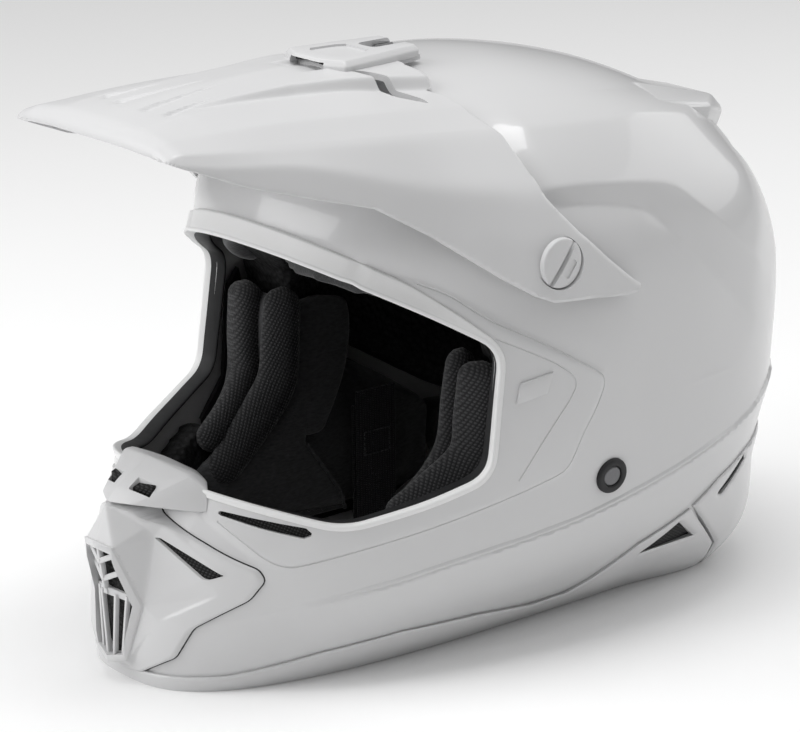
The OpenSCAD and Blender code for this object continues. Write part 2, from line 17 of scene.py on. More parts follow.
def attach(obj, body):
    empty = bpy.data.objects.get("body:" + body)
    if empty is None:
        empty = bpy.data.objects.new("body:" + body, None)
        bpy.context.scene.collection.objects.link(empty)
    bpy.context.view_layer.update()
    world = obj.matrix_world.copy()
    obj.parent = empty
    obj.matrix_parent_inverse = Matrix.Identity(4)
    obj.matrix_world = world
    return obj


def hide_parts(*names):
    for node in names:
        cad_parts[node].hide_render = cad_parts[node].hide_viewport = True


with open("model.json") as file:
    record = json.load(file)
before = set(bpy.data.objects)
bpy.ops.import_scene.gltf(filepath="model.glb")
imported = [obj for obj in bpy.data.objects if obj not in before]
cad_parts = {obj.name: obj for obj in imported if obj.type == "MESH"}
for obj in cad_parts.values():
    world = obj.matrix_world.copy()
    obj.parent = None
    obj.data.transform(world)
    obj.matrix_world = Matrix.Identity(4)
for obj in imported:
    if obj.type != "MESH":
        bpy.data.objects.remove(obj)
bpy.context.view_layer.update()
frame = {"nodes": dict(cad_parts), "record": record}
NODES = frame["nodes"]
MM = 0.001
MIRROR = np.array([-1.0, 1.0, 1.0])


# ---------------------------------------------------------------- the shell's design surface

# Height, half width, y of the widest point, y of the back, y of the front, powers of front and back
SECTIONS = np.array([
    [0, 65, 0, 124, -202, 3.0, 3.0],
    [20, 88, 0, 135, -204, 2.4, 2.9],
    [50, 110, 0, 145, -199, 2.1, 2.6],
    [90, 120, 0, 154, -184, 2.0, 2.5],
    [130, 123, 0, 160, -156, 2.0, 2.5],
    [170, 123, 0, 157, -130, 2.1, 2.5],
    [205, 117, 0, 140, -124, 2.2, 2.4],
    [232, 100, -2, 110, -110, 2.2, 2.3],
    [252, 73, -6, 70, -86, 2.2, 2.1],
    [263, 39, -10, 26, -52, 2.1, 2.0],
    [266, 0, -12, -12, -12, 2.0, 2.0],
], float)
TOP_T = len(SECTIONS) - 1
CROWN_STOP = 0.03
SHELL_WALL = 4.0

# Side views, as y and z points
EYEPORT_EDGE = [[-240, 267], [-69, 154], [-77, 97], [-103, 88], [-138, 79], [-176, 92], [-240, 114]]
PEAK_EDGE = [[-230, 262], [-205, 251], [-178, 240], [-147, 231], [-121, 224], [-97, 209],
             [-70, 188], [-57, 179], [-49, 175.5], [-25, 174], [-8, 172], [-2, 172.6], [0.2, 174.2],
             [0.2, 176], [-4, 179], [-18, 191], [-32, 205], [-39, 214], [-44, 221], [-46, 234],
             [-47, 246], [-52, 254], [-51, 280], [-230, 290]]
TRIM_EDGE = [[-230, 5], [-179, 8], [-142, 16], [-105, 20], [-63, 19], [-27, 14], [-7, 15], [4, 21],
             [23, 38], [33, 42], [52, 50], [88, 18], [96, -20], [-230, -20]]
REAR_TRIM_EDGE = [[54, 51], [71, 61], [96, 68], [180, 76], [180, -20], [98, -20], [90, 18]]

# Side screw and tilt axis of the peak, and strap rivet
PIVOT_Y, PIVOT_Z = -44.5, 193.0
RIVET = [[120, -10.0, 84.0]]
# Reach of cutting tools: across the helmet, and through the front of it
WIDE, AHEAD = (-160, 160), (-260, -150)


def spline(a, b, c, d, f):
    """Catmull-Rom curve from b to c."""
    return 0.5 * (2 * b + (c - a) * f + (2 * a - 5 * b + 4 * c - d) * f ** 2
                  + (3 * b - 3 * c + d - a) * f ** 3)


# The table with a row beyond each end: the one past the crown comes down on the other side
SECTION_ROWS = np.vstack([2 * SECTIONS[0] - SECTIONS[1], SECTIONS,
                          SECTIONS[-2, [0, 1, 2, 4, 3, 5, 6]] * [1, -1, 1, 1, 1, 1, 1]])


def section_at(t):
    """Row of the section table at a place between its rows."""
    t = np.asarray(t, float)
    i = np.clip(np.floor(t).astype(int), 0, TOP_T - 1)
    rows = [SECTION_ROWS[i + k] for k in range(4)]
    return spline(*rows, (t - i)[..., None])


def t_at(z):
    """Place of a height in the section table."""
    table = np.linspace(0, TOP_T, 2001)
    return np.interp(z, section_at(table)[:, 0], table)


def side_x(y, z, grow=0.0):
    """Half width of the shell at a place in the side view."""
    s = section_at(t_at(np.asarray(z, float)))
    y = np.asarray(y, float)
    front = y < s[..., 2]
    power = np.where(front, s[..., 5], s[..., 6])
    reach = np.where(front, s[..., 2] - s[..., 4], s[..., 3] - s[..., 2]) + grow
    part = np.minimum(np.abs(y - s[..., 2]) / reach, 1)
    return (s[..., 1] + grow) * (1 - part ** power) ** (1 / power)


def shell_grid(half, t_values):
    """Rings of evenly spaced points: places, outward normals and angles round the shell.

    Each ring runs from the front centre over the left side to the back centre and home again.
    """
    angles = np.radians(np.linspace(-90, 90, 1441))
    s = section_at(t_values)
    places, turned = [], []
    for row in s:
        power = np.where(angles < 0, 2 / row[5], 2 / row[6])
        reach = np.where(angles < 0, row[2] - row[4], row[3] - row[2])
        x = row[1] * np.abs(np.cos(angles)) ** power
        y = row[2] + reach * np.sign(np.sin(angles)) * np.abs(np.sin(angles)) ** power
        x[0] = x[-1] = 0
        along = np.concatenate([[0], np.cumsum(np.hypot(np.diff(x), np.diff(y)))])
        even = np.linspace(0, along[-1], half + 1)
        left = np.stack([np.interp(even, along, x), np.interp(even, along, y),
                         np.full(half + 1, row[0])], 1)
        places.append(np.vstack([left, left[half - 1:0:-1] * MIRROR]))
        a = np.interp(even, along, np.degrees(angles))
        turned.append(np.concatenate([a, 180 - a[half - 1:0:-1]]))
    grid = np.array(places)
    across = np.roll(grid, -1, 1) - np.roll(grid, 1, 1)
    rise = np.gradient(grid, axis=0)
    normals = np.cross(across, rise)
    normals /= np.maximum(np.linalg.norm(normals, axis=2, keepdims=True), 1e-9)
    return grid, normals, np.array(turned)


# ---------------------------------------------------------------- curves and distances

def ease(a, b, v):
    """Smooth step from 0 at a to 1 at b."""
    f = np.clip((np.asarray(v, float) - a) / (b - a), 0, 1)
    return f * f * (3 - 2 * f)


def smooth_path(points, steps=8):
    """Smooth curve through given points."""
    p = np.array(points, float)
    rows = np.vstack([2 * p[0] - p[1], p, 2 * p[-1] - p[-2]])
    out = []
    for i in range(len(p) - 1):
        for k in range(steps):
            out.append(spline(rows[i], rows[i + 1], rows[i + 2], rows[i + 3], k / steps))
    return np.vstack(out + [p[-1]])


def resample(path, step, closed=False):
    """Path with points an even step apart."""
    path = np.asarray(path, float)
    if closed:
        path = np.vstack([path, path[:1]])
    along = np.concatenate([[0], np.cumsum(np.linalg.norm(np.diff(path, axis=0), axis=1))])
    count = max(2, int(round(along[-1] / step)))
    even = np.linspace(0, along[-1], count + 1)
    out = np.stack([np.interp(even, along, path[:, k]) for k in range(path.shape[1])], 1)
    return out[:-1] if closed else out


def round_corners(points, radius, closed=True, steps=6):
    """Polygon whose corners are replaced by curves that start a radius away from each corner."""
    p = np.array(points, float)
    n = len(p)
    out = []
    for i in range(n):
        if not closed and i in (0, n - 1):
            out.append(p[i])
            continue
        before, after = p[i - 1] - p[i], p[(i + 1) % n] - p[i]
        r = min(radius, 0.45 * np.linalg.norm(before), 0.45 * np.linalg.norm(after))
        a = p[i] + before / np.linalg.norm(before) * r
        b = p[i] + after / np.linalg.norm(after) * r
        for f in np.linspace(0, 1, steps + 1):
            out.append((1 - f) ** 2 * a + 2 * f * (1 - f) * p[i] + f ** 2 * b)
    return np.array(out)


def grow_outline(points, amount):
    """Polygon moved outwards by an amount, with mitred corners."""
    p = np.array(points, float)
    edge = np.roll(p, -1, 0) - p
    area = 0.5 * np.sum(p[:, 0] * np.roll(p[:, 1], -1) - np.roll(p[:, 0], -1) * p[:, 1])
    out = np.stack([edge[:, 1], -edge[:, 0]], 1) * np.sign(area)
    out /= np.linalg.norm(out, axis=1, keepdims=True)
    before = np.roll(out, 1, 0)
    mitre = out + before
    mitre /= np.maximum(0.35, np.sum(mitre * mitre, 1, keepdims=True) / 2)
    return p + mitre * amount


def fold(path, points, normals):
    """Signed distance from each point to a path, positive on its left, and the share along it."""
    path = np.asarray(path, float)
    start, step = path[:-1], np.diff(path, axis=0)
    length = np.linalg.norm(step, axis=1)
    along = np.concatenate([[0], np.cumsum(length)])
    shape = points.shape[:-1]
    p, n = points.reshape(-1, 3), normals.reshape(-1, 3)
    best = np.full(len(p), 1e9)
    sign, share = np.ones(len(p)), np.zeros(len(p))
    for k in range(len(step)):
        v = p - start[k]
        f = np.clip(v @ step[k] / length[k] ** 2, 0, 1)
        v = v - f[:, None] * step[k]
        distance = np.linalg.norm(v, axis=1)
        nearer = distance < best
        best = np.where(nearer, distance, best)
        side = np.sign(np.sum(np.cross(step[k], v) * n, 1))
        sign = np.where(nearer, side, sign)
        share = np.where(nearer, (along[k] + f * length[k]) / along[-1], share)
    return (best * sign).reshape(shape), share.reshape(shape)


def inside_distance(outline, y, z):
    """Distance from points in a plane to a closed outline, positive inside."""
    p = np.stack([np.ravel(y), np.ravel(z)], 1)
    ring = np.asarray(outline, float)
    best = np.full(len(p), 1e9)
    inside = np.zeros(len(p), bool)
    for a, b in zip(ring, np.roll(ring, -1, 0)):
        d = b - a
        f = np.clip((p - a) @ d / max(d @ d, 1e-12), 0, 1)
        best = np.minimum(best, np.linalg.norm(p - a - f[:, None] * d, axis=1))
        crosses = (a[1] > p[:, 1]) != (b[1] > p[:, 1])
        if d[1]:
            inside ^= crosses & (p[:, 0] < a[0] + (p[:, 1] - a[1]) / d[1] * d[0])
    return (best * np.where(inside, 1, -1)).reshape(np.shape(y))


def round_off(distance, radius):
    """How far a surface drops at a distance from its edge, for an edge of some radius."""
    f = np.clip(distance / radius, 0, 1)
    return radius * (1 - np.sqrt(1 - (1 - f) ** 2))


# ---------------------------------------------------------------- mesh making

def placed(name, data):
    """Object with some data, put in the scene."""
    obj = bpy.data.objects.new(name, data)
    bpy.context.scene.collection.objects.link(obj)
    return obj


def placed_bmesh(name, bm):
    mesh = bpy.data.meshes.new(name)
    bm.to_mesh(mesh)
    bm.free()
    return placed(name, mesh)


def new_object(name, points, faces):
    mesh = bpy.data.meshes.new(name)
    mesh.from_pydata((np.asarray(points) * MM).tolist(), [], [list(map(int, f)) for f in faces])
    mesh.validate()
    return placed(name, mesh)


def skin(name, rings, closed_path=False, tip=None):
    """Solid through rings with the same number of points, with a fan to an optional tip."""
    rings = np.asarray(rings, float)
    n, m = rings.shape[:2]
    index = np.arange(n * m).reshape(n, m)
    low = index if closed_path else index[:-1]
    high = np.roll(index, -1, 0) if closed_path else index[1:]
    quads = np.stack([low, np.roll(low, -1, 1), np.roll(high, -1, 1), high], 2).reshape(-1, 4)
    faces = quads.tolist()
    points = rings.reshape(-1, 3)
    if not closed_path:
        faces.append(index[0][::-1].tolist())
        if tip is None:
            faces.append(index[-1].tolist())
        else:
            points = np.vstack([points, tip])
            faces += [[int(index[-1][j]), int(index[-1][(j + 1) % m]), n * m] for j in range(m)]
    return new_object(name, points, faces)


def outward(obj):
    """Makes a closed mesh's faces look outwards."""
    bm = bmesh.new()
    bm.from_mesh(obj.data)
    bmesh.ops.recalc_face_normals(bm, faces=bm.faces)
    bm.to_mesh(obj.data)
    bm.free()
    return obj


def modified(obj, kind, **settings):
    """Applies a modifier."""
    modifier = obj.modifiers.new(kind, kind)
    for key, value in settings.items():
        setattr(modifier, key, value)
    graph = bpy.context.evaluated_depsgraph_get()
    fresh = bpy.data.meshes.new_from_object(obj.evaluated_get(graph))
    obj.modifiers.clear()
    obj.data = fresh
    return obj


def boolean(obj, tool, operation="DIFFERENCE"):
    """Cuts, joins or intersects with a tool, which is used up."""
    modified(obj, "BOOLEAN", object=tool, operation=operation, solver="MANIFOLD")
    if not len(obj.data.polygons):
        raise RuntimeError(f"{operation} of {obj.name} with {tool.name} left nothing")
    bpy.data.objects.remove(tool)
    return obj


def cut(obj, *tools):
    """Cuts several tools out of an object."""
    for tool in tools:
        boolean(obj, tool)
    return obj


def prism(outline, low, high, axis):
    """Outline carried along an axis: "x" takes y and z points, "y" x and z, "z" x and y."""
    outline = np.asarray(outline, float)
    rings = [np.insert(outline, "xyz".index(axis), level, axis=1) for level in (low, high)]
    return outward(skin("prism", rings))


def crop(obj, outline, low, high, axis):
    """Keeps what is inside an outline carried along an axis."""
    return boolean(obj, prism(outline, low, high, axis), "INTERSECT")


def mirrored_outline(half):
    """Front outline from its left half, whose first and last points are on the centre line."""
    half = np.asarray(half, float)
    return np.vstack([half, half[-2:0:-1] * [-1, 1]])


def mirror_object(obj):
    """Adds the mirror image to an object's own mesh."""
    bm = bmesh.new()
    bm.from_mesh(obj.data)
    copies = bmesh.ops.duplicate(bm, geom=bm.verts[:] + bm.edges[:] + bm.faces[:])
    new = [g for g in copies["geom"] if isinstance(g, bmesh.types.BMVert)]
    for v in new:
        v.co.x = -v.co.x
    faces = [g for g in copies["geom"] if isinstance(g, bmesh.types.BMFace)]
    bmesh.ops.reverse_faces(bm, faces=faces)
    bm.to_mesh(obj.data)
    bm.free()
    return obj


def join(objects, name):
    """One object from several."""
    bm = bmesh.new()
    for o in objects:
        bm.from_mesh(o.data)
    joined = placed_bmesh(name, bm)
    for o in objects:
        bpy.data.objects.remove(o)
    return joined


def mirrored_copy(obj, name):
    mesh = obj.data.copy()
    mesh.transform(Matrix.Scale(-1, 4, Vector((1, 0, 0))))
    mesh.flip_normals()
    return placed(name, mesh)


def frames_along(path, out, closed):
    """Across and outward directions along a path."""
    if closed:
        tangent = np.roll(path, -1, 0) - np.roll(path, 1, 0)
    else:
        tangent = np.gradient(path, axis=0)
    tangent /= np.linalg.norm(tangent, axis=1, keepdims=True)
    out = out - np.sum(out * tangent, 1, keepdims=True) * tangent
    out /= np.linalg.norm(out, axis=1, keepdims=True)
    return np.cross(tangent, out), out


def sweep(name, path, out, profile, closed=False):
    """Profile of (across, outward) points carried along a path. It may be one per path point."""
    path = np.asarray(path, float)
    across, out = frames_along(path, np.asarray(out, float), closed)
    profile = np.asarray(profile, float)
    if profile.ndim == 2:
        profile = np.repeat(profile[None], len(path), 0)
    rings = (path[:, None] + profile[..., :1] * across[:, None] + profile[..., 1:] * out[:, None])
    return outward(skin(name, rings, closed))


def circle_profile(radius, count=8):
    a = np.linspace(0, 2 * math.pi, count, endpoint=False)
    return np.stack([np.cos(a), np.sin(a)], 1) * radius


def bevelled_box(name, corners_low, corners_high, bevel=0.6, segments=2):
    """Hexahedron from four lower and four upper corners, with rounded edges."""
    faces = [[3, 2, 1, 0], [4, 5, 6, 7], [0, 1, 5, 4], [1, 2, 6, 5], [2, 3, 7, 6], [3, 0, 4, 7]]
    obj = outward(new_object(name, list(corners_low) + list(corners_high), faces))
    return bevel_edges(obj, bevel, segments)


def bevel_edges(obj, width, segments=2, angle=20):
    return modified(obj, "BEVEL", width=width * MM, segments=segments, limit_method="ANGLE",
                    angle_limit=math.radians(angle), harden_normals=False)


def hull_object(name, points):
    """Convex hull of some points."""
    bm = bmesh.new()
    for p in points:
        bm.verts.new(Vector(p) * MM)
    result = bmesh.ops.convex_hull(bm, input=bm.verts)
    loose = {g for g in result["geom_interior"] + result["geom_unused"]
             if isinstance(g, bmesh.types.BMVert)}
    bmesh.ops.delete(bm, geom=list(loose), context="VERTS")
    bmesh.ops.dissolve_limit(bm, angle_limit=math.radians(1), verts=bm.verts, edges=bm.edges)
    return placed_bmesh(name, bm)


def finish(obj, body, material, replaces=(), sharp=32):
    """Smooth shading, material and body of a finished piece, with the CAD nodes it replaces hidden.
    """
    obj.data.shade_smooth()
    obj.data.set_sharp_from_angle(angle=math.radians(sharp))
    obj.data.materials.clear()
    obj.data.materials.append(material)
    for polygon in obj.data.polygons:
        polygon.material_index = 0
    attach(obj, body)
    if replaces:
        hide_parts(*replaces)
    return obj


def pair(stem, left, material, sharp=32, body="root", replaces=True, ending="_visual"):
    """A piece on the left and its mirror image, each with its own CAD node to replace."""
    right = mirrored_copy(left, f"{stem}_right{ending}")
    left.name = f"{stem}_left{ending}"
    for obj, side in ((left, "left"), (right, "right")):
        nodes = [f"{stem}_{side}"] if replaces else ()
        finish(obj, body.replace("SIDE", side), material, nodes, sharp)


# ---------------------------------------------------------------- materials

def base_material(name, color, roughness, **sockets):
    mat = bpy.data.materials.new(name)
    mat.use_nodes = True
    shader = mat.node_tree.nodes["Principled BSDF"]
    shader.inputs["Base Color"].default_value = (*color, 1)
    shader.inputs["Roughness"].default_value = roughness
    for key, value in sockets.items():
        shader.inputs[key.replace("_", " ")].default_value = value
    return mat


def add(mat, kind, **settings):
    node = mat.node_tree.nodes.new(kind)
    for key, value in settings.items():
        setattr(node, key, value)
    return node


def link(mat, a, b):
    mat.node_tree.links.new(a, b)


def object_coordinates(mat, scale=(1, 1, 1), rotation=(0, 0, 0)):
    place = add(mat, "ShaderNodeTexCoord")
    mapping = add(mat, "ShaderNodeMapping")
    mapping.inputs["Scale"].default_value = scale
    mapping.inputs["Rotation"].default_value = rotation
    link(mat, place.outputs["Object"], mapping.inputs["Vector"])
    return mapping.outputs["Vector"]


def noise(mat, scale, detail=3, stretch=(1, 1, 1)):
    node = add(mat, "ShaderNodeTexNoise")
    node.inputs["Scale"].default_value = scale
    node.inputs["Detail"].default_value = detail
    link(mat, object_coordinates(mat, stretch), node.inputs["Vector"])
    return node.outputs["Fac"]


def shader_input(mat, key):
    return mat.node_tree.nodes["Principled BSDF"].inputs[key]


def blend_color(mat, factor, low, high):
    ramp = add(mat, "ShaderNodeMix", data_type="RGBA")
    for socket in ramp.inputs:
        if socket.type == "RGBA":
            socket.default_value = (*(low if socket.name == "A" else high), 1)
    link(mat, factor, ramp.inputs["Factor"])
    output = [o for o in ramp.outputs if o.type == "RGBA"][0]
    link(mat, output, shader_input(mat, "Base Color"))


def vary_roughness(mat, factor, low, high):
    spread = add(mat, "ShaderNodeMapRange")
    spread.inputs["To Min"].default_value = low
    spread.inputs["To Max"].default_value = high
    link(mat, factor, spread.inputs["Value"])
    link(mat, spread.outputs["Result"], shader_input(mat, "Roughness"))


def bump(mat, height, strength, distance):
    node = add(mat, "ShaderNodeBump")
    node.inputs["Strength"].default_value = strength
    node.inputs["Distance"].default_value = distance
    link(mat, height, node.inputs["Height"])
    link(mat, node.outputs["Normal"], shader_input(mat, "Normal"))


def wave(mat, scale, direction, rotation=(0, 0, 0)):
    node = add(mat, "ShaderNodeTexWave", wave_type="BANDS", bands_direction=direction)
    node.inputs["Scale"].default_value = scale
    link(mat, object_coordinates(mat, rotation=rotation), node.inputs["Vector"])
    return node.outputs["Fac"]


def combine(mat, operation, a, b):
    node = add(mat, "ShaderNodeMath", operation=operation)
    link(mat, a, node.inputs[0])
    if isinstance(b, (int, float)):
        node.inputs[1].default_value = b
    else:
        link(mat, b, node.inputs[1])
    return node.outputs[0]


def grained(name, roughness, tint, rough, grain, **sockets):
    """Material whose colour, roughness and fine relief each follow a noise of their own.

    tint is scale, low and high colour; rough is scale, detail, low and high; grain is scale,
    detail, strength and depth.
    """
    mat = base_material(name, tint[1], roughness, **sockets)
    blend_color(mat, noise(mat, tint[0]), *tint[1:])
    if rough:
        vary_roughness(mat, noise(mat, *rough[:2]), *rough[2:])
    bump(mat, noise(mat, *grain[:2]), *grain[2:])
    return mat


def weave_material(name, dark, light, pitch, roughness, sheen, strength=0.6):
    """Open woven fabric: two crossed sets of threads, a pitch apart."""
    mat = base_material(name, dark, roughness, Sheen_Weight=sheen, Sheen_Roughness=0.5,
                        Specular_IOR_Level=0.25)
    turns = math.pi / (pitch * MM) / 10
    along = wave(mat, turns, "Y", rotation=(0.5, 0, 0.3))
    over = wave(mat, turns, "Z", rotation=(0.5, 0, 0.3))
    threads = combine(mat, "MULTIPLY", along, over)
    fuzz = noise(mat, 700, 4)
    height = combine(mat, "ADD", threads, fuzz)
    blend_color(mat, combine(mat, "MULTIPLY", threads, 1.6), dark, light)
    bump(mat, height, strength, pitch * MM * 0.5)
    return mat


def brushed_fabric(name="brushed_fabric", dark=(0.020, 0.020, 0.021), light=(0.10, 0.10, 0.104)):
    mat = base_material(name, dark, 0.9, Sheen_Weight=0.35, Sheen_Roughness=0.45,
                        Specular_IOR_Level=0.15)
    fibre = noise(mat, 900, 6, stretch=(1, 0.35, 1))
    blend_color(mat, fibre, dark, light)
    bump(mat, fibre, 0.55, 0.0006)
    return mat


def foam_material(name, dark, light, cell):
    """Foam with open cells of some size."""
    mat = base_material(name, dark, 0.85, Specular_IOR_Level=0.2)
    cells = add(mat, "ShaderNodeTexVoronoi", feature="F1")
    cells.inputs["Scale"].default_value = 1 / (cell * MM)
    link(mat, object_coordinates(mat), cells.inputs["Vector"])
    blend_color(mat, cells.outputs["Distance"], light, dark)
    bump(mat, cells.outputs["Distance"], 0.8, cell * MM * 0.6)
    return mat


def webbing_material():
    """Ribbed webbing."""
    mat = base_material("webbing", (0.012, 0.012, 0.013), 0.75, Sheen_Weight=0.2,
                        Specular_IOR_Level=0.25)
    ribs = wave(mat, math.pi / (1.6 * MM) / 10, "Y")
    picks = wave(mat, math.pi / (1.1 * MM) / 10, "Z", rotation=(0.35, 0, 0))
    cloth = combine(mat, "MULTIPLY", ribs, picks)
    blend_color(mat, cloth, (0.006, 0.006, 0.007), (0.035, 0.035, 0.038))
    bump(mat, cloth, 0.7, 0.0005)
    return mat


def satin_steel(name="satin_steel", colour=(0.45, 0.45, 0.46)):
    mat = base_material(name, colour, 0.32, Metallic=1.0)
    streaks = noise(mat, 300, 5, stretch=(1, 1, 12))
    blend_color(mat, streaks, [0.85 * c for c in colour], [1.15 * c for c in colour])
    vary_roughness(mat, streaks, 0.25, 0.42)
    bump(mat, streaks, 0.05, 0.0001)
    return mat


LACQUER = grained("white_lacquer", 0.32, (9, (0.60, 0.60, 0.607), (0.64, 0.64, 0.643)),
                  (35, 5, 0.27, 0.37), (420, 2, 0.04, 0.0002),
                  Coat_Weight=0.55, Coat_Roughness=0.06, Specular_IOR_Level=0.45)
PLASTIC = grained("white_plastic", 0.36, (11, (0.61, 0.61, 0.617), (0.65, 0.65, 0.653)),
                  (60, 5, 0.31, 0.42), (1500, 2, 0.06, 0.0001), Specular_IOR_Level=0.5)
RUBBER_WHITE = grained("white_rubber", 0.48, (25, (0.76, 0.76, 0.76), (0.80, 0.80, 0.80)),
                       (80, 4, 0.42, 0.55), (900, 2, 0.08, 0.0001), Specular_IOR_Level=0.35)
RUBBER_BLACK = grained("black_rubber", 0.55, (60, (0.010, 0.010, 0.011), (0.022, 0.022, 0.023)),
                       (200, 4, 0.45, 0.68), (1400, 3, 0.15, 0.0002), Specular_IOR_Level=0.4)
PAD_PLASTIC = grained("pad_plastic", 0.5, (70, (0.014, 0.014, 0.015), (0.028, 0.028, 0.03)),
                      None, (1100, 4, 0.25, 0.0003), Specular_IOR_Level=0.4)
MESH_BLACK = weave_material("black_mesh", (0.003, 0.003, 0.003), (0.04, 0.04, 0.041), 1.3, 0.7, 0.0)
KNIT = weave_material("knit_fabric", (0.006, 0.006, 0.007), (0.040, 0.040, 0.042), 1.5, 0.85, 0.2)
FABRIC = brushed_fabric()
FABRIC_LIGHT = brushed_fabric("brow_fabric", (0.03, 0.03, 0.032), (0.12, 0.12, 0.125))
FILTER = foam_material("filter_foam", (0.002, 0.002, 0.002), (0.05, 0.05, 0.05), 1.4)
FOAM = foam_material("bead_foam", (0.008, 0.008, 0.008), (0.03, 0.03, 0.031), 3.2)
WEBBING = webbing_material()
STEEL = satin_steel()
STEEL_DARK = satin_steel("dark_steel", (0.16, 0.16, 0.165))


# ---------------------------------------------------------------- outer shell

# Shoulder rail: outer edge from the peak to the tip of the spoiler
RAIL = smooth_path([[80, -41, 244], [87, -13, 243], [88, 23, 241], [79, 68, 236], [53, 103, 229]])
# Crease down the side: its upper and lower edges
CREASE_TOP = smooth_path([[101, -58, 222.5], [109, -9, 220], [111, 27, 215], [113, 38, 210],
                          [115, 55, 196], [113, 77, 177], [103, 107, 151]])
CREASE_LOW = smooth_path([[102, -58, 217], [113, -12, 213], [116, 10, 208], [117, 18, 204],
                          [120, 38, 186], [119, 55, 169], [112, 90, 138]])
# Ridge along the jaw
JAW = smooth_path([[69, -159, 42], [80, -140, 46], [92, -114, 51], [101, -92, 56], [107, -67, 60],
                   [114, -26, 66], [117, 20, 75], [116, 51, 82], [108, 87, 90], [88, 125, 100],
                   [40, 150, 108], [0, 154, 110]])
# Raised surround of the eyeport, as y and z points in the side view
SURROUND = round_corners([[-97, 186], [-85, 179], [-68, 165.5], [-30, 143], [-19, 137], [-17, 131],
                          [-28, 110], [-36, 92], [-75, 82], [-115, 72], [-138, 66], [-160, 60],
                          [-169, 65], [-181, 81], [-181, 120], [-140, 150], [-110, 186]], 5)


def rail_relief(p, n):
    """Shoulder rail, higher towards the tip of the spoiler."""
    s, share = fold(RAIL, p, n)
    height = 1.6 + 3.2 * share ** 2
    crown_side = np.clip(1 - s / (20 + 6 * share), 0, 1)
    outer_side = np.clip(1 + s / 30, 0, 1) ** 2
    profile = np.where(s > 0, crown_side, outer_side)
    start = ease(-46, -30, p[..., 1])
    ahead = (RAIL[-1] - RAIL[-6]) / np.linalg.norm(RAIL[-1] - RAIL[-6])
    past = (p - RAIL[-1]) @ ahead
    return height * profile * start * (1 - ease(-1.5, 7, past) * (p[..., 1] > 40))


def crease_relief(p, n):
    """Step down from the upper to the lower edge of the crease."""
    above, share = fold(CREASE_TOP, p, n)
    below, _ = fold(CREASE_LOW, p, n)
    band = np.abs(above) / np.maximum(np.abs(above) + np.abs(below), 1e-6)
    high, low = 2.6, -1.9
    upper = high * np.clip(1 - above / 60, 0, 1) ** 1.5
    lower = low * np.clip(1 + below / 60, 0, 1) ** 1.5
    middle = high + (low - high) * band
    d = np.where(above > 0, upper, np.where(below < 0, lower, middle))
    return d * ease(-48, -30, p[..., 1]) * (1 - ease(0.84, 1.0, share))


def jaw_relief(p, n):
    """Ridge along the jaw, with a ledge under it."""
    s, share = fold(JAW, p, n)
    flank = 1.5 * np.clip(1 - np.abs(s) / 26, 0, 1) ** 2
    ledge = 1.5 * (1 - ease(-1.4, 1.4, s)) * np.clip(1 + s / 40, 0, 1)
    return (flank + ledge) * ease(-0.03, 0.05, share) * (1 - 0.7 * ease(0.72, 0.95, share))


def surround_relief(p):
    """Step of the eyeport surround."""
    d = inside_distance(SURROUND, p[..., 1], p[..., 2])
    return 0.9 * ease(-2.0, 2.0, d) * (p[..., 1] < 0)


def relief(points, normals):
    """How far the shell stands proud of its design surface."""
    p, n = points.copy(), normals.copy()
    p[..., 0] = np.abs(p[..., 0])
    n[..., 0] = np.abs(n[..., 0])
    far = np.zeros(p.shape[:-1])
    upper = p[..., 2] > 120
    lower = p[..., 2] < 150
    far[upper] += rail_relief(p[upper], n[upper]) + crease_relief(p[upper], n[upper])
    far[lower] += jaw_relief(p[lower], n[lower])
    return far + surround_relief(p)


def shell_solid(name, grow, half, rows, drop=0.0, top=TOP_T - CROWN_STOP, relieved=False):
    """Solid in the shape of the shell, grown by an amount and carried on below the foot."""
    heights = np.linspace(0, top, rows)
    if relieved:
        even = np.interp(np.linspace(0, 1, rows), [0, 0.86, 1], [0, 250, 262])
        heights = np.concatenate([t_at(even), np.linspace(t_at(262), top, 12)[1:]])
    grid, normals, _ = shell_grid(half, heights)
    amount = grow + (relief(grid, normals) if relieved else 0)
    rings = grid + normals * (amount[..., None] if relieved else amount)
    if drop:
        foot = rings[:1].copy()
        foot[..., 2] = -drop
        rings = np.vstack([foot, rings])
    return skin(name, rings, tip=[[0, SECTIONS[-1][2], SECTIONS[-1][0] + grow]])


def surface_tree(obj):
    return BVHTree.FromPolygons([v.co for v in obj.data.vertices],
                                [list(p.vertices) for p in obj.data.polygons])


SHELL_HALF_POINTS, SHELL_ROWS = 300, 230
shell = shell_solid("outer_shell_visual", 0, SHELL_HALF_POINTS, SHELL_ROWS, relieved=True)
SHELL_TREE = surface_tree(shell)
cut(shell, shell_solid("inner", -SHELL_WALL, 70, 60, drop=10),
    prism(grow_outline(round_corners(EYEPORT_EDGE, 9), 1.5), -150, 150, "x"))


def on_surface(points, tree=SHELL_TREE):
    """Nearest places on a surface, with its outward normals."""
    found = [tree.find_nearest(Vector(p) * MM)[:2] for p in points]
    return np.array([p for p, _ in found]) / MM, np.array([n for _, n in found])


# ---------------------------------------------------------------- eyeport rim

